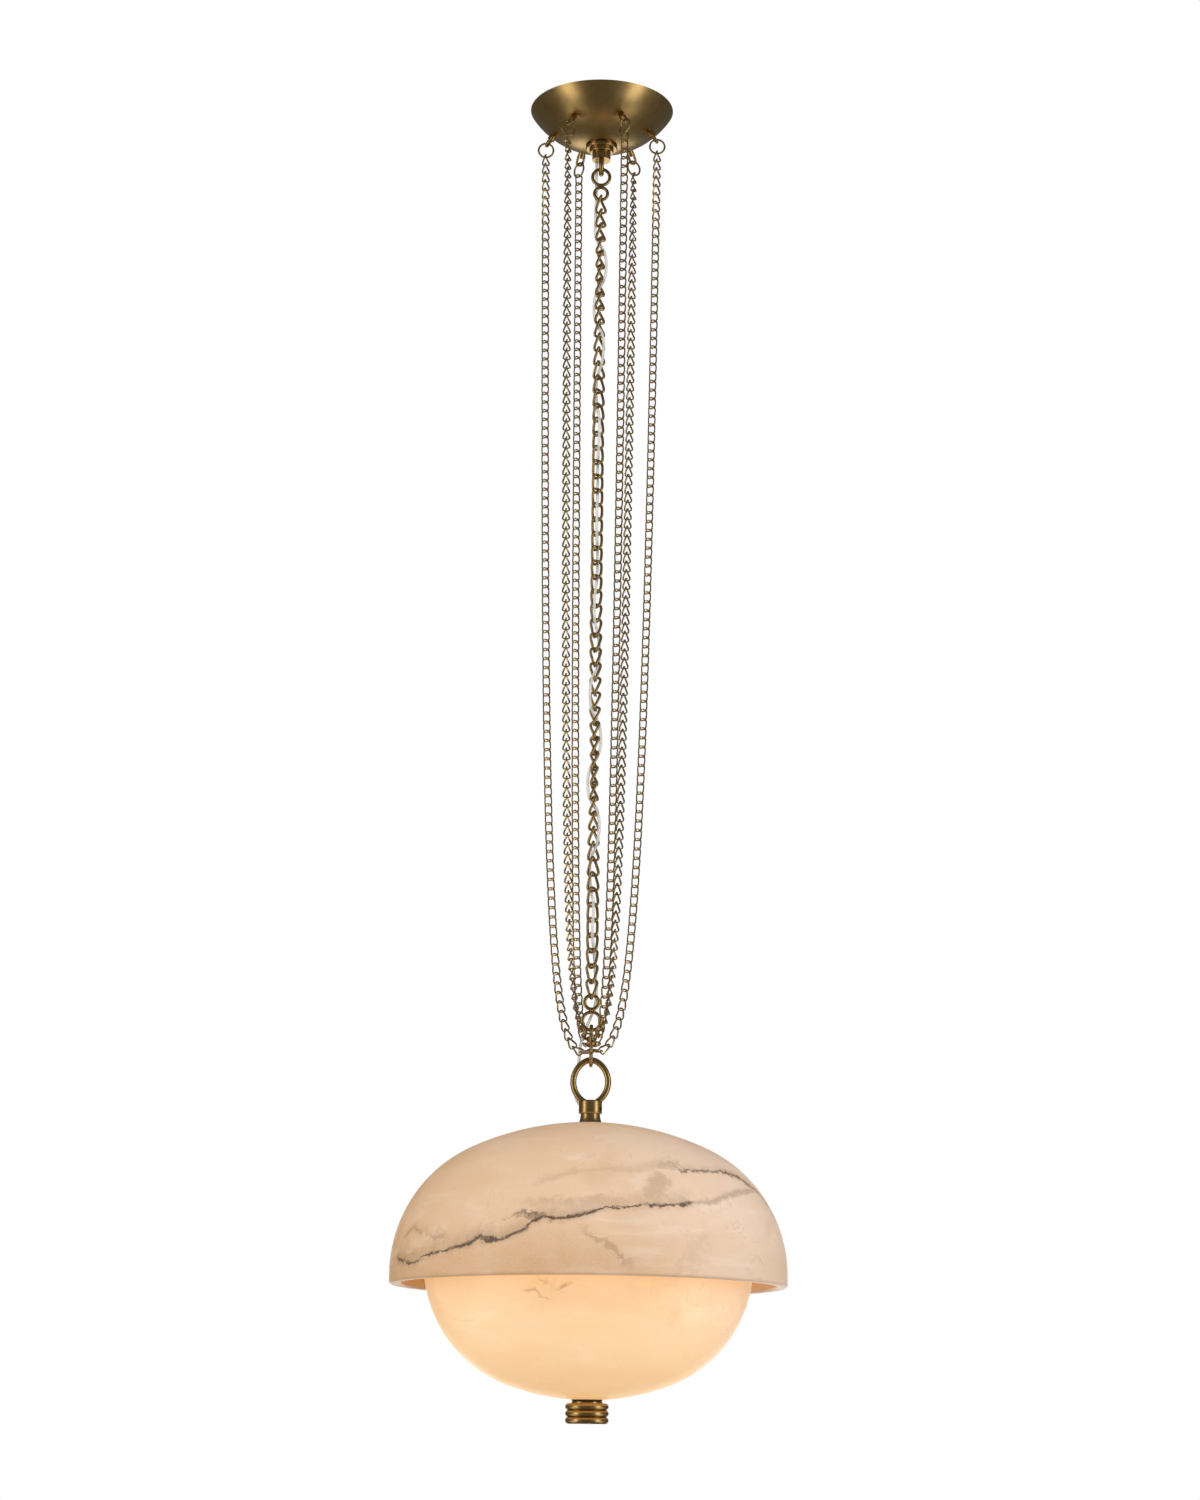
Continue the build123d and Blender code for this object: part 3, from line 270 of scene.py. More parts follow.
class Paint:
    """A socket of a material. Operators on it add Math nodes, and node() adds any other node."""

    def __init__(self, tree, socket=None):
        self.tree = tree
        self.socket = socket

    def node(self, kind, settings=None, inputs=None, out=0):
        """Adds a node, sets its settings and then its sockets, and gives one of its outputs."""
        made = self.tree.nodes.new(kind)
        for name, value in (settings or {}).items():
            if name == "points":
                line = made.mapping.curves[0]
                for place in value[2:]:
                    line.points.new(*place)
                for point, place in zip(line.points, value):
                    point.location = place
                    point.handle_type = "VECTOR"
                made.mapping.update()
            else:
                setattr(made, name, value)
        for key, value in (inputs or {}).items():
            if isinstance(value, Paint):
                self.tree.links.new(value.socket, made.inputs[key])
            else:
                made.inputs[key].default_value = value
        return Paint(self.tree, made.outputs[out])

    def out(self, key):
        """Another output of the same node."""
        return Paint(self.tree, self.socket.node.outputs[key])

    def sum(self, operation, first, second=0.0):
        return self.node("ShaderNodeMath", {"operation": operation}, {0: first, 1: second})

    def __add__(self, other):
        return self.sum("ADD", self, other)

    __radd__ = __add__

    def __sub__(self, other):
        return self.sum("SUBTRACT", self, other)

    def __rsub__(self, other):
        return self.sum("SUBTRACT", other, self)

    def __mul__(self, other):
        return self.sum("MULTIPLY", self, other)

    __rmul__ = __mul__

    def __truediv__(self, other):
        return self.sum("DIVIDE", self, other)

    def __rtruediv__(self, other):
        return self.sum("DIVIDE", other, self)

    def __pow__(self, other):
        return self.sum("POWER", self, other)

    def __abs__(self):
        return self.sum("ABSOLUTE", self)

    def limit(self):
        """The value kept between 0 and 1."""
        return self.node("ShaderNodeClamp", None, {0: self})

    def step(self, start, end, low=0.0, high=1.0):
        """A smooth step from low at start to high at end."""
        sizes = {1: start, 2: end, 3: low, 4: high}
        return self.node("ShaderNodeMapRange", {"interpolation_type": "SMOOTHSTEP"}, {0: self, **sizes})

    def mix(self, first, second):
        """Two colours mixed by this value."""
        settings = {"data_type": "RGBA", "clamp_factor": True}
        return self.node("ShaderNodeMix", settings, {0: self, 6: first, 7: second}, 2)

    def noise(self, place, scale, detail=3.0, roughness=0.55, distortion=0.0):
        """Noise at a scale per metre."""
        sizes = {"Scale": scale, "Detail": detail, "Roughness": roughness, "Distortion": distortion}
        return self.node("ShaderNodeTexNoise", None, {"Vector": place, **sizes})

    def bump(self, height, strength, distance):
        sizes = {"Strength": strength, "Distance": distance}
        return self.node("ShaderNodeBump", None, {"Height": height, **sizes})


def rgba(colour):
    return (*colour, 1.0)


def new_finish(name, slot_values):
    """A material with its shader's plain values set, and the Paint to work on its nodes."""
    material = bpy.data.materials.new(name)
    material.use_nodes = True
    shader = material.node_tree.nodes["Principled BSDF"]
    for key, value in slot_values.items():
        shader.inputs[key].default_value = value
    return material, shader, Paint(material.node_tree)


def feed(shader, values):
    """Links each value to the shader's socket of that name."""
    for key, value in values.items():
        value.tree.links.new(value.socket, shader.inputs[key])


def brass_finish(looks):
    """Antique brass: satin metal with faint brown clouds, fine turning lines and a few dark specks."""
    plain = {"Metallic": 1.0, "Coat Weight": 0.05, "Coat Roughness": 0.3}
    material, shader, paint = new_finish("antique_brass", plain)
    place = paint.node("ShaderNodeTexCoord", None, None, "Object")
    clouds = paint.noise(place, 40.0, 4.0, 0.55)
    patches = paint.noise(place, 190.0, 4.0, 0.6, 0.3)
    specks = paint.noise(place, 1300.0, 2.0)
    grain_place = paint.node("ShaderNodeMapping", None, {"Vector": place, "Scale": (1.0, 1.0, 7.0)})
    grain = paint.noise(grain_place, 500.0, 3.0, 0.7)
    worn = ((clouds - 0.5) * 0.9 + (patches - 0.5) * 0.45 + 0.6).limit()
    tone = worn.mix(rgba(looks.brass_dark), rgba(looks.brass_light))
    spots = specks.step(0.69, 0.76) * 0.5
    tone = spots.mix(tone, rgba([c * 0.5 for c in looks.brass_dark]))
    rough = 0.32 + (patches - 0.5) * 0.1 + (grain - 0.5) * 0.1 + spots * 0.15
    relief = grain * 0.6 + patches * 0.4
    feed(shader, {"Base Color": tone, "Roughness": rough, "Normal": paint.bump(relief, 0.05, 0.0003)})
    return material


def steel_finish(looks):
    """Plated steel: grey, fine brushed lines, a few dull patches."""
    material, shader, paint = new_finish("plated_steel", {"Metallic": 1.0})
    place = paint.node("ShaderNodeTexCoord", None, None, "Object")
    stretched = paint.node("ShaderNodeMapping", None, {"Vector": place, "Scale": (1.0, 9.0, 9.0)})
    lines = paint.noise(stretched, 420.0, 3.0, 0.7)
    dull = paint.noise(place, 70.0, 4.0)
    tone = dull.step(0.4, 0.7).mix(rgba(looks.steel), rgba([c * 0.7 for c in looks.steel]))
    rough = 0.3 + (lines - 0.5) * 0.25 + (dull - 0.5) * 0.2
    feed(shader, {"Base Color": tone, "Roughness": rough, "Normal": paint.bump(lines, 0.1, 0.0002)})
    return material


def porcelain_finish(looks):
    """Unglazed porcelain: off-white with faint specks."""
    material, shader, paint = new_finish("porcelain", {})
    place = paint.node("ShaderNodeTexCoord", None, None, "Object")
    specks = paint.noise(place, 900.0, 3.0)
    clouds = paint.noise(place, 120.0)
    tone = (specks.step(0.6, 0.75) * 0.5).mix(rgba(looks.porcelain), rgba([c * 0.6 for c in looks.porcelain]))
    rough = 0.5 + (clouds - 0.5) * 0.2
    feed(shader, {"Base Color": tone, "Roughness": rough, "Normal": paint.bump(specks, 0.1, 0.0002)})
    return material


def rubber_finish(looks):
    """Black rubber with a dusty bloom."""
    material, shader, paint = new_finish("black_rubber", {})
    place = paint.node("ShaderNodeTexCoord", None, None, "Object")
    dust = paint.noise(place, 260.0, 4.0)
    tone = dust.step(0.45, 0.8).mix(rgba(looks.rubber), rgba([c + 0.05 for c in looks.rubber]))
    rough = 0.75 + (dust - 0.5) * 0.2
    feed(shader, {"Base Color": tone, "Roughness": rough, "Normal": paint.bump(dust, 0.15, 0.0002)})
    return material


def cable_finish(looks):
    """Clear pale sheath: the braid of its conductors shows faintly as slanting bands along the cable."""
    plain = {"Alpha": 0.6, "Coat Weight": 0.4, "Coat Roughness": 0.08, "IOR": 1.46, "Specular IOR Level": 0.6}
    material, shader, paint = new_finish("clear_sheath", plain)
    along = paint.node("ShaderNodeUVMap", {"uv_map": "cable"})
    split = paint.node("ShaderNodeSeparateXYZ", None, {0: along})
    wave = paint.sum("SINE", (split * 900.0) + (split.out(1) * 6.2832))
    shade = paint.noise(along, 40.0)
    bands = (wave * 0.3 + 0.55 + (shade - 0.5) * 0.3).limit()
    tone = bands.mix(rgba([c * 0.82 for c in looks.cable]), rgba(looks.cable))
    rough = 0.2 + (shade - 0.5) * 0.1
    feed(shader, {"Base Color": tone, "Roughness": rough, "Normal": paint.bump(wave, 0.08, 0.0001)})
    return material


def bulb_finish(looks):
    """Frosted glass, lit: brightest round its middle."""
    plain = {"Emission Strength": 2.5, "Base Color": rgba(looks.bulb)}
    material, shader, paint = new_finish("lit_glass", plain)
    place = paint.node("ShaderNodeTexCoord", None, None, "Object")
    frost = paint.noise(place, 500.0)
    light = (0.8 + (frost - 0.5) * 0.3).mix((0.5, 0.3, 0.15, 1.0), rgba(looks.bulb))
    feed(shader, {"Emission Color": light, "Roughness": 0.4 + (frost - 0.5) * 0.3})
    return material


def vein(paint, turn, height, points):
    """Height above a vein's line, and its run: 1 along it, fading at both ends."""
    ends = ((0.0, points[0][1]), (1.0, points[-1][1]))
    line = paint.node("ShaderNodeFloatCurve", {"points": (*ends, *points)}, {1: turn})
    start, end = points[0][0], points[-1][0]
    rising = turn.step(start - VEIN_FADE, start + VEIN_FADE)
    return height - line, rising * turn.step(end - VEIN_FADE, end + VEIN_FADE, 1.0, 0.0)


def stone_finish(name, looks, lamp, glow_share, warmth, painted_right_light, painted_rim_shade, veins, patches):
    """Lit alabaster: tan and pale clouds, milky patches, dark cracks with smoke above them, and a glow.

    The glow is glow_share / (1 + (distance / GLOW_REACH)^2), so stone near the lamps is brighter. warmth
    is the pale share at the middle. The share after it makes the stone paler to the right, a painted light
    from that side, and the one after that sets the painted shade: a deeper tan by the lower edge, more on
    the left.
    """
    plain = {"Emission Strength": 1.0, "IOR": 1.5, "Specular IOR Level": 0.4, "Coat Roughness": 0.2}
    material, shader, paint = new_finish(name, plain)
    place = paint.node("ShaderNodeTexCoord", None, None, "Object")
    across = paint.node("ShaderNodeSeparateXYZ", None, {0: place})
    uv = paint.node("ShaderNodeSeparateXYZ", None, {0: paint.node("ShaderNodeUVMap", {"uv_map": "stone"})})
    broad = paint.noise(place, 7.0, 3.0, 0.5, 0.6)
    clouds = paint.noise(place, 24.0, 6.0, 0.6, 0.9)
    layers = paint.node("ShaderNodeMapping", None, {"Vector": place, "Scale": (1.0, 1.0, 4.0)})
    streaks = paint.noise(layers, 16.0, 5.0, 0.6, 0.5)
    fine = paint.noise(place, 130.0, 5.0, 0.62)
    grain = paint.noise(place, 900.0, 2.0)
    jag = paint.noise(place, 210.0, 4.0, 0.65)
    height = uv.out(1) + (clouds - 0.5) * 0.03 + (fine - 0.5) * 0.055 + (jag - 0.5) * 0.06
    turn = uv + (fine - 0.5) * 0.018 + (jag - 0.5) * 0.015
    mottle = (broad - 0.5) * 0.7 + (clouds - 0.5) * 0.35 + (streaks - 0.5) * 0.5
    # Paler towards +X, the right: painted light from the lights on that side, over the stone's own mottled
    # tone
    pale = (warmth + across * painted_right_light + mottle).limit()
    tone = pale.mix(rgba(looks.stone_tan), rgba(looks.stone_pale))
    # Painted shade: the stone turns a deeper tan towards its lower edge, strongest on the left and broken up
    # by the clouds
    deep = height.step(0.04, 0.40, 1.0, 0.0) * across.step(-0.02, 0.13, 1.0, 0.3)
    deep = deep * clouds.step(0.3, 0.6, 0.6, 1.0)
    tone = (deep * painted_rim_shade).mix(tone, rgba(looks.stone_rim_shade))
    milk = streaks.step(0.52, 0.72) * 0.3
    tone = milk.mix(tone, MILK)
    shade = broad.step(0.42, 0.30) * clouds.step(0.60, 0.40) * 0.22
    ridge = abs(paint.noise(place, 13.0, 5.0, 0.55, 1.6) - 0.5)
    dark = ridge.step(0.0, 0.01, 1.0, 0.0) * clouds.step(0.42, 0.62) * 0.14
    for points, width, strength, reach, haze in veins:
        above, run = vein(paint, turn, height, points)
        near = abs(above) / clouds.step(0.35, 0.65, 0.45, 1.7)
        core = near.step(width * 0.15, width, 1.0, 0.0) * run * fine.step(0.30, 0.5, 0.3, 1.0)
        smoke = above.step(-0.4 * reach, 0.0) * above.step(0.0, reach, 1.0, 0.0) * run
        smoke = smoke * clouds.step(0.3, 0.6, 0.2, 1.0)
        dark = paint.sum("MAXIMUM", dark, core * strength)
        shade = paint.sum("MAXIMUM", shade, smoke * haze)
    for (turn_0, height_0), (turn_r, height_r), strength in patches:
        far = ((turn - turn_0) / turn_r) ** 2.0 + ((height - height_0) / height_r) ** 2.0
        cloud = (far + (clouds - 0.5) * 1.8 + (fine - 0.5) * 1.4).step(0.0, 1.0, 1.0, 0.0)
        shade = paint.sum("MAXIMUM", shade, cloud * strength)
    tone = shade.limit().mix(tone, rgba(looks.smoke))
    tone = dark.limit().mix(tone, rgba(looks.vein))
    tone = ((grain - 0.5) * 0.4 + 0.06).limit().mix(tone, SPARKLE)
    away = paint.node("ShaderNodeVectorMath", {"operation": "DISTANCE"}, {0: place, 1: lamp}, 1)
    reach = glow_share / (1.0 + (away / GLOW_REACH) ** 2.0)
    dimmed = (1.0 - dark * 0.9) * (1.0 - shade * 0.8)
    light = (reach * dimmed * (0.75 + clouds * 0.5)).mix(BLACK, rgba(looks.glow))
    rough = 0.42 + (clouds - 0.5) * 0.2 + dark * 0.2
    relief = fine * 0.5 + grain * 0.15 - dark * 0.6
    normal = paint.bump(relief, 0.15, 0.0008)
    feed(shader, {"Base Color": tone, "Roughness": rough, "Emission Color": light, "Normal": normal})
    return material


def grid_mesh(name, points, material, uv=None, uv_name="stone", ends=False):
    """A mesh of grids: points has the shape (grids, rows, columns, 3), closed across its columns.

    The rows are closed too, unless ends is set, and then the first and last row are capped. Faces are
    turned outwards by the sign of the volume they enclose. uv has one pair for each corner of the grid
    cells, one row and column more.
    """
    grids, rows, columns = points.shape[:3]
    spans = rows - 1 if ends else rows
    g, i, j = np.meshgrid(np.arange(grids), np.arange(spans), np.arange(columns), indexing="ij")
    below, beside = (i + 1) % rows, (j + 1) % columns
    base = g * rows * columns
    row, next_row = base + i * columns, base + below * columns
    faces = np.stack([row + j, next_row + j, next_row + beside, row + beside], -1).reshape(-1, 4)
    flat = points.reshape(-1, 3)
    a, b, c, d = (flat[faces[:, k]] for k in range(4))
    inward = np.einsum("ij,ij->i", a, np.cross(b, c) + np.cross(c, d)).sum() < 0
    order = [3, 2, 1, 0] if inward else [0, 1, 2, 3]
    listed = faces[:, order].tolist()
    if ends:
        first = list(range(columns))
        last = [(rows - 1) * columns + k for k in range(columns)]
        listed += [first, last[::-1]] if not inward else [first[::-1], last]
    mesh = bpy.data.meshes.new(name)
    mesh.from_pydata(flat.tolist(), [], listed)
    if uv is not None:
        cells = np.stack([uv[i, j], uv[i + 1, j], uv[i + 1, j + 1], uv[i, j + 1]], -2)
        cells = cells.reshape(-1, 4, 2)[:, order]
        values = np.zeros((len(mesh.loops), 2), np.float32)
        values[: cells.size // 2] = cells.reshape(-1, 2)
        mesh.uv_layers.new(name=uv_name).data.foreach_set("uv", values.ravel())
    mesh.polygons.foreach_set("use_smooth", np.ones(len(mesh.polygons), bool))
    mesh.set_sharp_from_angle(angle=math.radians(50))
    mesh.materials.append(material)
    piece = bpy.data.objects.new(name, mesh)
    bpy.context.scene.collection.objects.link(piece)
    return piece


def arc(centre_r, centre_z, radius, start, end, count):
    """Points on an arc in the plane of radius and height, with angles from the top."""
    angles = np.linspace(start, end, count)
    return np.stack([centre_r + radius * np.sin(angles), centre_z + radius * np.cos(angles)], -1)


def shell_outline(radius, height, crown, wall, skirt, rounding, hole, outer_seat, inner_seat):
    """The closed outline of a crowned shell with its top at height 0.

    Outside from the hole: a flat seat, the crown's arc, a tangent shoulder arc, an upright skirt and a
    rounded rim. Inside, the same arcs a wall's thickness in, back to a flat seat round the hole.
    """
    arch = height - skirt
    shoulder = (2 * crown * arch - arch**2 - radius**2) / (2 * (crown - radius))
    lean = math.asin((radius - shoulder) / (crown - shoulder))
    middle = radius - shoulder
    seat_top = math.sqrt(crown**2 - outer_seat**2) - crown
    inner_crown = crown - wall
    seat_low = math.sqrt(inner_crown**2 - inner_seat**2) - crown
    out_start = math.asin(outer_seat / crown)
    in_start = math.asin(inner_seat / inner_crown)
    quarter = math.pi / 2
    runs = [
        np.array([[hole, seat_low], [hole, seat_top]]),
        arc(0, -crown, crown, out_start, lean, 26),
        arc(middle, -arch, shoulder, lean, quarter, 44)[1:],
        np.stack([np.full(4, radius), np.linspace(-arch, rounding - height, 5)[1:]], -1),
        arc(radius - rounding, rounding - height, rounding, quarter, math.pi, 6)[1:],
        arc(radius - wall + rounding, rounding - height, rounding, math.pi, 3 * quarter, 6),
        np.stack([np.full(4, radius - wall), np.linspace(rounding - height, -arch, 5)[1:]], -1),
        arc(middle, -arch, shoulder - wall, quarter, lean, 44)[1:],
        arc(0, -crown, inner_crown, lean, in_start, 26)[1:],
    ]
    return np.concatenate(runs)


def turned_piece(name, outline, material, low, high, count=288):
    """An outline carried round Z. Its map is the share of the way round and of the height."""
    turn = np.linspace(0, 2 * math.pi, count, endpoint=False)
    r, z = outline[:, 0][None, :], outline[:, 1][None, :]
    around = turn[:, None]
    points = np.stack([-r * np.sin(around), r * np.cos(around), z + 0 * around], -1)
    share = np.linspace(0, 1, count + 1)[:, None] + 0 * r[:, :1]
    tall = np.append(outline[:, 1], outline[0, 1])
    uv = np.stack(np.broadcast_arrays(share, ((tall - low) / (high - low))[None, :]), -1)
    return grid_mesh(name, points[None], material, uv)


def camera_tilt(stage):
    """The camera's turn as a matrix: tilted up by the pitch, then rolled."""
    return Matrix.Rotation(math.pi / 2 + stage.pitch, 3, "X") @ Matrix.Rotation(stage.roll, 3, "Z")


def on_stone(stage, outline, low, high, places):
    """Where places on the photograph lie on a turned stone: share of the way round, share of the height.

    Each is followed as a ray from the camera, until it is nearer to the axis than the outside at its height.
    """
    pixels_per_slope = stage.lens / CAMERA_SIDE * PHOTO_HEIGHT
    rim = np.abs(outline[:, 1] - outline[1, 1]).argmax()
    outside = outline[1 : rim + 1]
    radius, height = outside[outside[:, 1].argsort()].T
    near, far = stage.distance - RAY_BEFORE, stage.distance + RAY_PAST
    travel = np.linspace(near, far, RAY_STEPS)[:, None]
    eye = np.array((stage.side, -stage.distance, stage.eye))
    tilt = np.array(camera_tilt(stage))
    found = []
    for x, y in places:
        slope = ((x - PHOTO_WIDTH / 2) / pixels_per_slope, (PHOTO_HEIGHT / 2 - y) / pixels_per_slope, -1.0)
        ray = eye + travel * (tilt @ slope)
        depth = np.hypot(ray[:, 0], ray[:, 1]) - np.interp(ray[:, 2], height, radius)
        hit = ray[(depth < 0).argmax() if depth.min() < 0 else depth.argmin()]
        found.append((0.5 + math.atan2(hit[0], -hit[1]) / (2 * math.pi), (hit[2] - low) / (high - low)))
    return found


def marks_on(stage, outline, low, high, veins, patches):
    """Veins and patches with their places on the photograph carried onto the stone."""
    lines = [(on_stone(stage, outline, low, high, places), *look) for places, *look in veins]
    spots = [(on_stone(stage, outline, low, high, [middle])[0], *look) for middle, *look in patches]
    return lines, spots


def looks_of(context):
    return context.scene.pendant_finish


class PENDANT_OT_dome(bpy.types.Operator):
    """Turns the alabaster dome and gives it veined, lit stone."""

    bl_idname = "pendant.dome"
    bl_label = "Alabaster Dome"

    def execute(self, context):
        size = context.scene.pendant_stone
        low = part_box("dome")[0].z
        top = low + size.dome_height
        outline = shell_outline(size.dome_radius, size.dome_height, size.dome_crown,
                                size.dome_wall, size.dome_skirt, size.dome_round, size.hole,
                                size.dome_top_seat, size.dome_seat)
        outline[:, 1] += top
        veins, patches = marks_on(context.scene.pendant_stage, outline, low, top, DOME_VEINS, DOME_PATCHES)
        # The dome gets a strong painted light to the right and a strong painted shade by its rim
        stone = stone_finish("alabaster_dome", looks_of(context), DOME_GLOW_AT, glow_share=0.62, warmth=0.42,
                             painted_right_light=2.4, painted_rim_shade=0.75, veins=[*veins, DOME_BACK_VEIN],
                             patches=[*patches, DOME_BACK_PATCH])
        dome = turned_piece("dome_stone", outline, stone, low, top)
        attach(dome, "lamp")
        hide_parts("dome")
        return {"FINISHED"}


class PENDANT_OT_bowl(bpy.types.Operator):
    """Turns the alabaster bowl and gives it brighter lit stone."""

    bl_idname = "pendant.bowl"
    bl_label = "Alabaster Bowl"

    def execute(self, context):
        size = context.scene.pendant_stone
        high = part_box("bowl")[1].z
        foot = high - size.bowl_height
        outline = shell_outline(size.bowl_radius, size.bowl_height, size.bowl_crown,
                                size.bowl_wall, size.bowl_skirt, size.bowl_round, size.hole,
                                size.bowl_foot_seat, size.bowl_seat)
        outline[:, 1] = foot - outline[:, 1]
        veins, patches = marks_on(context.scene.pendant_stage, outline, foot, high, BOWL_VEINS, BOWL_PATCHES)
        # The bowl gets a weaker painted light to the right and a weaker painted shade by its foot
        stone = stone_finish("alabaster_bowl", looks_of(context), BOWL_GLOW_AT, glow_share=1.75, warmth=0.6,
                             painted_right_light=0.8, painted_rim_shade=0.35, veins=[*veins, BOWL_BACK_VEIN],
                             patches=[*patches, BOWL_BACK_PATCH])
        bowl = turned_piece("bowl_stone", outline, stone, foot, high)
        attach(bowl, "bowl")
        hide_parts("bowl")
        return {"FINISHED"}


def unit(vectors):
    return vectors / np.linalg.norm(vectors, axis=-1, keepdims=True)


def rounded_loop(count):
    """Points round a square of half side 1 with rounded corners: signed powers of cosine and sine."""
    angle = (np.arange(count) + 0.5) * 2 * math.pi / count
    flat = np.stack([np.cos(angle), np.sin(angle)], -1)
    shaped = np.sign(flat) * np.abs(flat) ** 0.62
    return shaped / np.abs(shaped).max()


def curb_link(pitch, width, wire, gap, around=12, sides=4):
    """One twisted link along Z as a grid.

    Its middle line is (s*x, s*x*z, h*z) with x and z on a rounded square, s half the width and h half the
    length to the wire's middle, so the ends turn 45 degrees either way. A ring of a few sides, a little
    outside the round wire, is carried along it.
    """
    half = pitch / 2 + wire + gap / 2
    side = width / 2 - wire
    x, z = rounded_loop(around).T
    line = np.stack([side * x, side * x * z, half * z], -1)
    along = unit(np.roll(line, -1, 0) - np.roll(line, 1, 0))
    out = unit(line - (line * along).sum(-1, keepdims=True) * along)
    over = np.cross(along, out)
    angle = (np.arange(sides) + 0.5) * 2 * math.pi / sides
    ring = np.cos(angle)[:, None] * out[:, None, :] + np.sin(angle)[:, None] * over[:, None, :]
    return line[:, None, :] + wire * (1 + 1 / sides) * ring


def hanging_joints(top, low, pitch, end_slope):
    """Points nearly a pitch apart down a chain from top to low, a catenary that meets low at end_slope.

    With t the slope and t0 its value at low, level distance is a*(asinh t - asinh t0) and height
    a*(hypot(1, t) - hypot(1, t0)). The scale a is found by halving, so that the curve reaches top.
    """
    level = math.hypot(*(top - low)[:2])
    rise = top[2] - low[2]
    t0 = math.tan(math.radians(end_slope))
    least, most = level / 60, rise
    for _ in range(80):
        a = (least + most) / 2
        if a * (math.cosh(math.asinh(t0) + level / a) - math.hypot(1, t0)) > rise:
            least = a
        else:
            most = a
    length = a * (math.sinh(math.asinh(t0) + level / a) - t0)
    count = round(length / pitch)
    t = t0 + length / a * np.linspace(1, 0, count + 1)
    out = np.append((top - low)[:2] / level, 0)
    up = np.array([0, 0, 1.0])
    reach = a * (np.arcsinh(t) - math.asinh(t0))
    return low + reach[:, None] * out + a * (np.hypot(1, t) - math.hypot(1, t0))[:, None] * up


def dress_ends(size, index):
    """The ends of a dress chain: under its top ring, and in its gather ring on a leg of the gather link."""
    angle = math.radians(DRESS_FIRST_ANGLE + index * 60)
    top = np.array([size.reach * math.cos(angle), size.reach * math.sin(angle), size.top])
    side = index // 3
    level = GATHER_LEVELS[index % 3]
    drop = GATHER_FIRST + level * GATHER_STEP + side * GATHER_STAGGER
    leg = np.array([0, GATHER_LEG_Y * (1 - 2 * side), GATHER_TOP - drop])
    tilt = math.radians(GATHER_TILTS[level])
    flat = unit((top - leg) * (1, 1, 0))
    reach = GATHER_RING_REACH - GATHER_RING_PLAY / math.cos(tilt)
    ring_side = leg + (flat * math.cos(tilt) + np.array([0, 0, math.sin(tilt)])) * reach
    slope = math.radians(size.end_slope)
    pull = unit((ring_side - top) * (1, 1, 0)) * math.cos(slope) - np.array([0, 0, math.sin(slope)])
    return top, ring_side + pull * CHAIN_LEAD


def same_turn(turn, target):
    """The turn nearest to target that looks the same: a link repeats every half turn."""
    return turn + 180 * round((target - turn) / 180)


def place_links(link, joints, facing, turns):
    """A link's grid at each span between joints, its X side near facing and then turned by degrees."""
    turns = np.radians(turns)[:, None]
    up = unit(joints[:-1] - joints[1:])
    x = unit(facing - (up @ facing)[:, None] * up)
    y = np.cross(up, x)
    axes = np.stack([x * np.cos(turns) + y * np.sin(turns), y * np.cos(turns) - x * np.sin(turns), up], 1)
    middles = (joints[:-1] + joints[1:]) / 2
    return np.einsum("abk,nkc->nabc", link, axes) + middles[:, None, None, :]


def dress_links(size, index):
    """All links of a dress chain as grids, and the height of each link's middle."""
    top, low = dress_ends(size, index)
    joints = hanging_joints(top, low, size.pitch, size.end_slope)
    count = len(joints) - 1
    plane = math.degrees(math.atan2(*(joints[0] - joints[-1])[1::-1])) - 90
    facing = np.array([math.cos(math.radians(plane)), math.sin(math.radians(plane)), 0])
    middle = DRESS_FACES[index] - plane
    ring = DRESS_FIRST_ANGLE + index * 60 + RING_TURNS[index]
    first = same_turn(ring + 45 - plane, middle)
    last = same_turn(135, middle)
    ramp = RAMP_LINKS / count
    shares = (np.arange(count) + 0.5) / count
    turns = np.interp(shares, (0, ramp, 1 - ramp, 1), (first, middle, middle, last))
    link = curb_link(size.pitch, size.width, size.wire, size.gap)
    return place_links(link, joints, facing, turns), (joints[:-1, 2] + joints[1:, 2]) / 2


# Parts of a hanging run: name, upper and lower height, bodies it bends between, heights it bends over
DRESS_PARTS = (
    ("head", 0.0, -0.15, ("canopy", "top_connector"), (-0.046, -0.146)),
    ("upper", -0.15, -0.3, ("top_connector", "main_chain"), (-0.154, -0.296)),
    ("run", -0.3, -0.76, ("main_chain",), None),
    ("foot", -0.76, -1.0, ("main_chain", "gather_link"), (-0.764, -0.826)),
)
CABLE_PARTS = (
    ("head", 0.0, -0.07, ("canopy", "top_connector"), (-0.048, -0.068)),
    ("upper", -0.07, -0.1, ("top_connector", "main_chain"), (-0.072, -0.098)),
    ("run", -0.1, -0.812, ("main_chain",), None),
    ("lower", -0.812, -0.838, ("main_chain", "gather_link"), (-0.814, -0.836)),
    ("foot", -0.838, -1.0, ("gather_link", "lamp"), (-0.842, -0.868)),
)


def hang(piece, bodies, bend):
    """Lets a piece ride on one body; a piece given a bend range only has its place baked into its mesh."""
    if bend is None:
        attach(piece, bodies[0])
    else:
        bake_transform(piece)


class PENDANT_OT_dress_chains(bpy.types.Operator):
    """Hangs the six slack dress chains, each in parts split at the heights where the light swings."""

    bl_idname = "pendant.dress_chains"
    bl_label = "Dress Chains"

    def execute(self, context):
        size = context.scene.pendant_chain
        brass = bpy.data.materials["antique_brass"]
        for index in range(DRESS_COUNT):
            links, heights = dress_links(size, index)
            for part, high, low, bodies, bend in DRESS_PARTS:
                chosen = (heights <= high) & (heights > low)
                piece = grid_mesh(f"dress_chain_{index + 1}_{part}", links[chosen], brass)
                hang(piece, bodies, bend)
                if part == "run":
                    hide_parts(f"dress_chain_{index + 1}")
        return {"FINISHED"}


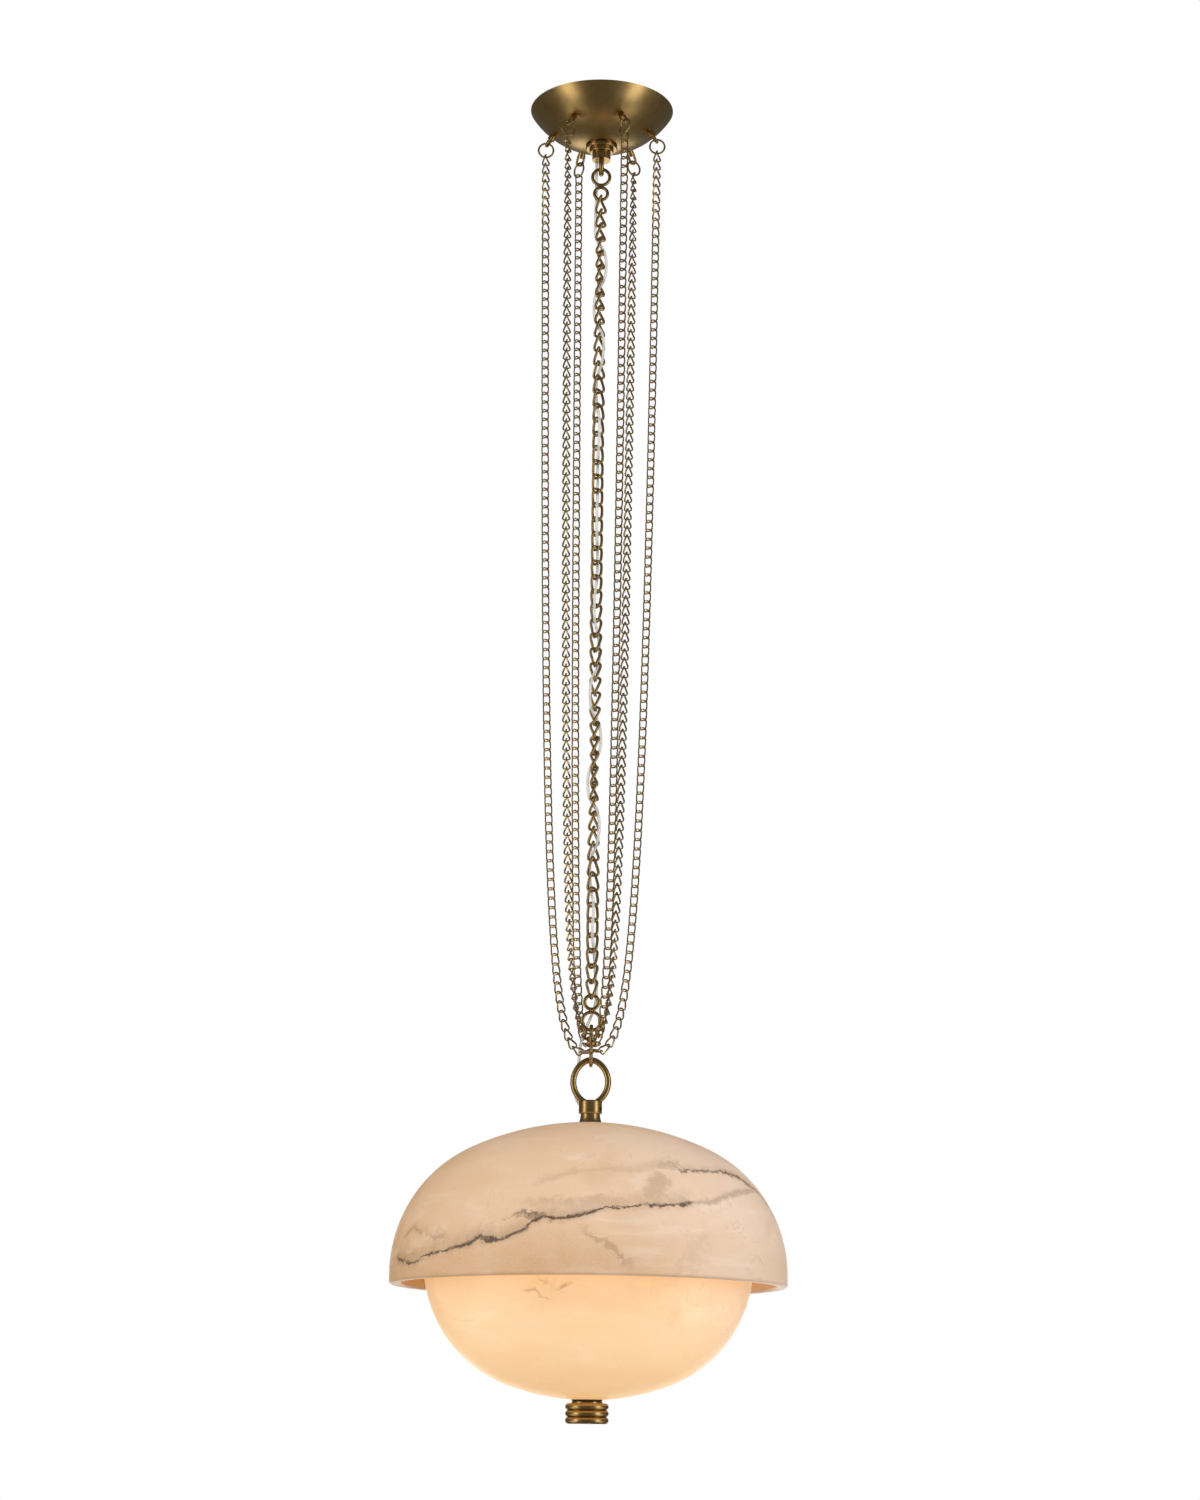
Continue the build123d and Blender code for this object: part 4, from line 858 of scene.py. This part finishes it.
class PENDANT_OT_main_chain(bpy.types.Operator):
    """Hangs the main chain, whose links turn slowly on the way down."""

    bl_idname = "pendant.main_chain"
    bl_label = "Main Chain"

    def execute(self, context):
        size = context.scene.pendant_chain
        joints = np.zeros((CHAIN_LINKS + 1, 3))
        joints[:, 2] = CHAIN_TOP - CHAIN_PITCH * np.arange(CHAIN_LINKS + 1)
        turns = np.interp((np.arange(CHAIN_LINKS) + 0.5) / CHAIN_LINKS, *CHAIN_TURNS)
        link = curb_link(CHAIN_PITCH, size.main_width, size.main_wire, size.gap, around=32, sides=10)
        links = place_links(link, joints, np.array([1.0, 0, 0]), turns)
        chain = grid_mesh("main_chain_links", links, bpy.data.materials["antique_brass"])
        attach(chain, "main_chain")
        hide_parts("main_chain")
        return {"FINISHED"}


def cable_beside(joint, side, offset):
    """A point of the cable's route beside a joint of the main chain, on one of its two faces."""
    turn = math.radians(np.interp(joint / CHAIN_LINKS, *CHAIN_TURNS) + 90)
    return (side * offset * math.cos(turn), side * offset * math.sin(turn), CHAIN_TOP - joint * CHAIN_PITCH)


def cable_route(offset):
    """The cable's points: beside the upper connector, through every third link, then down to the hub."""
    route = [
        (-0.0041, 0.0041, BARREL_FOOT + 0.004),
        (-0.0042, 0.0041, UPPER_LARGE + 0.002),
        (-0.004, 0.0043, UPPER_SMALL + 0.002),
    ]
    side = 1
    for joint in range(1, CHAIN_LINKS - 1, 3):
        route.append(cable_beside(joint, side, offset))
        route.append(cable_beside(joint + 2, side, offset))
        side = -side
    return route + [
        (0.0044, 0.0042, LOWER_SMALL + 0.003),
        (0.0004, 0.0048, LOWER_LARGE + 0.006),
        (-0.006, 0.005, LOWER_HOOK - 0.001),
        (-0.0092, 0.0044, GATHER_TOP - 0.015),
        (-0.0098, 0.0046, GATHER_FOOT + 0.003),
        (-0.013, 0.0047, LAMP_LOOP_TOP - 0.011),
        (-0.0138, 0.0047, LAMP_LOOP_TOP - 0.02),
        (-0.012, 0.0062, HUB_TOP + 0.0025),
        (-0.0096, 0.0064, HUB_TOP - 0.0024),
        (-0.0046, 0.004, HUB_TOP - 0.004),
    ]


def spline_points(route):
    """Points along a smooth spline that has the route as its control points."""
    curve = bpy.data.curves.new("cable_line", "CURVE")
    curve.dimensions = "3D"
    curve.resolution_u = 8
    spline = curve.splines.new("NURBS")
    spline.points.add(len(route) - 1)
    spline.points.foreach_set("co", np.column_stack([route, np.ones(len(route))]).astype(np.float32).ravel())
    spline.order_u = 3
    spline.use_endpoint_u = True
    line = bpy.data.objects.new("cable_line", curve)
    mesh = bpy.data.meshes.new_from_object(line)
    points = np.zeros(len(mesh.vertices) * 3, np.float32)
    mesh.vertices.foreach_get("co", points)
    bpy.data.objects.remove(line)
    bpy.data.meshes.remove(mesh)
    return points.reshape(-1, 3).astype(float)


class PENDANT_OT_cable(bpy.types.Operator):
    """Runs the clear power cable down the chain, in parts split at the heights where the light swings."""

    bl_idname = "pendant.cable"
    bl_label = "Power Cable"

    def execute(self, context):
        size = context.scene.pendant_cable
        sheath = cable_finish(looks_of(context))
        line = spline_points(cable_route(size.offset))
        along = unit(np.gradient(line, axis=0))
        # A direction that the cable never runs along
        aside = np.array([0.3, 1.0, 0.0])
        out = unit(aside - (along @ aside)[:, None] * along)
        over = np.cross(along, out)
        sides = 12
        angle = np.arange(sides) * 2 * math.pi / sides
        ring = np.cos(angle)[:, None] * out[:, None] + np.sin(angle)[:, None] * over[:, None]
        tube = line[:, None] + size.radius * ring
        run = np.append(0, np.cumsum(np.linalg.norm(np.diff(line, axis=0), axis=1)))
        uv = np.stack(np.broadcast_arrays(run[:, None], np.linspace(0, 1, sides + 1)[None, :]), -1)
        for part, high, low, bodies, bend in CABLE_PARTS:
            first = np.searchsorted(-line[:, 2], -high)
            last = np.searchsorted(-line[:, 2], -low) + 1
            first = max(first - 1, 0)
            cut = slice(first, last)
            piece = grid_mesh(f"power_cable_{part}", tube[None, cut], sheath, uv[cut], "cable", ends=True)
            hang(piece, bodies, bend)
            if part == "run":
                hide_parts("power_cable")
        return {"FINISHED"}


class PENDANT_OT_finishes(bpy.types.Operator):
    """Gives every piece of the frame that is shown its finish."""

    bl_idname = "pendant.finishes"
    bl_label = "Metal and Small Parts"

    def execute(self, context):
        looks = looks_of(context)
        finishes = {
            "antique_brass": brass_finish(looks),
            "steel": steel_finish(looks),
            "porcelain": porcelain_finish(looks),
            "rubber": rubber_finish(looks),
            "bulb_glass": bulb_finish(looks),
        }
        for name, piece in NODES.items():
            finish = finishes.get(SLOT_OF[name])
            if finish:
                piece.data.materials.clear()
                piece.data.materials.append(finish)
        return {"FINISHED"}


# Side lights: side, share of power, tint. Then the low and back lights' shares, and the room's greys
SIDE_LIGHTS = ((-1, 1.0, (1.0, 0.97, 0.92)), (1, 1.15, (0.98, 0.98, 1.0)))
LOW_SHARE, BACK_SHARE = 0.12, 0.22
ROOM = (0.34, 0.34, 0.35, 1.0)
ROOM_IN_METAL = (0.14, 0.14, 0.14, 1.0)


def soft_light(name, place, aim, width, height, power, colour, mirrored=True):
    """A rectangular light at a place, facing a point. Metal mirrors it only where mirrored is set."""
    light = bpy.data.lights.new(name, "AREA")
    light.shape = "RECTANGLE"
    light.size = width
    light.size_y = height
    light.energy = power
    light.color = colour
    lamp = bpy.data.objects.new(name, light)
    back = Matrix.Translation(place).translation - Matrix.Translation(aim).translation
    lamp.rotation_mode = "QUATERNION"
    lamp.rotation_quaternion = back.to_track_quat("Z", "Y")
    lamp.location = place
    lamp.visible_glossy = mirrored
    bpy.context.scene.collection.objects.link(lamp)


class PENDANT_OT_stage(bpy.types.Operator):
    """Sets the camera, soft lights and white surroundings."""

    bl_idname = "pendant.stage"
    bl_label = "Stage"

    def execute(self, context):
        scene = context.scene
        size = scene.pendant_stage
        scene.view_settings.view_transform = "Standard"
        data = bpy.data.cameras.new("camera")
        data.lens = size.lens
        data.sensor_width = CAMERA_SIDE
        camera = bpy.data.objects.new("camera", data)
        camera.rotation_mode = "QUATERNION"
        camera.rotation_quaternion = camera_tilt(size).to_quaternion()
        camera.location = (size.side, -size.distance, size.eye)
        scene.collection.objects.link(camera)
        scene.camera = camera

        middle, lamp, ceiling = (0.0, 0.0, -0.7), (0.0, 0.0, -1.1), (0.0, 0.0, 0.0)
        front, back = (0.2, -2.6, 1.4), (0.0, 2.2, -1.2)
        for side, share, tint in SIDE_LIGHTS:
            beside, below = (side * 1.7, -0.9, -1.1), (side * 1.0, 0.0, -1.75)
            soft_light("side_light", beside, lamp, 0.6, 2.4, size.side_light * share, tint)
            soft_light("low_light", below, ceiling, 0.5, 0.9, size.side_light * LOW_SHARE, tint)
        soft_light("front_light", front, middle, 2.0, 1.6, size.front_light, WHITE[:3], mirrored=False)
        soft_light("back_light", back, middle, 1.6, 1.2, size.front_light * BACK_SHARE, WHITE[:3])

        world = bpy.data.worlds.new("studio")
        world.use_nodes = True
        scene.world = world
        paint = Paint(world.node_tree)
        rays = paint.node("ShaderNodeLightPath", None, None, "Is Camera Ray")
        seen = (rays + rays.out("Is Transmission Ray")).limit()
        room = rays.out("Is Glossy Ray").mix(ROOM, ROOM_IN_METAL)
        ground = world.node_tree.nodes["Background"]
        around = seen.mix(room, WHITE)
        world.node_tree.links.new(around.socket, ground.inputs["Color"])
        return {"FINISHED"}


class PENDANT_PT_panel(bpy.types.Panel):
    """The pendant light's pieces, in the order they are made."""

    bl_label = "Pendant Light"
    bl_idname = "PENDANT_PT_panel"
    bl_space_type = "VIEW_3D"
    bl_region_type = "UI"
    bl_category = "Pendant Light"

    def draw(self, context):
        for operator in OPERATORS:
            self.layout.operator(operator.bl_idname)


OPERATORS = (PENDANT_OT_finishes, PENDANT_OT_dome, PENDANT_OT_bowl, PENDANT_OT_main_chain,
             PENDANT_OT_dress_chains, PENDANT_OT_cable, PENDANT_OT_stage)
SETTINGS = {
    "pendant_stone": StoneSettings,
    "pendant_chain": ChainSettings,
    "pendant_cable": CableSettings,
    "pendant_finish": FinishSettings,
    "pendant_stage": StageSettings,
}


def register():
    for settings in SETTINGS.values():
        bpy.utils.register_class(settings)
    for kind in (*OPERATORS, PENDANT_PT_panel):
        bpy.utils.register_class(kind)
    for name, settings in SETTINGS.items():
        setattr(bpy.types.Scene, name, PointerProperty(type=settings))


def unregister():
    for name in SETTINGS:
        delattr(bpy.types.Scene, name)
    for kind in (PENDANT_PT_panel, *OPERATORS, *SETTINGS.values()):
        bpy.utils.unregister_class(kind)


def main():
    register()
    bpy.ops.pendant.finishes()
    bpy.ops.pendant.dome()
    bpy.ops.pendant.bowl()
    bpy.ops.pendant.main_chain()
    bpy.ops.pendant.dress_chains()
    bpy.ops.pendant.cable()
    bpy.ops.pendant.stage()


if __name__ == "__main__":
    main()
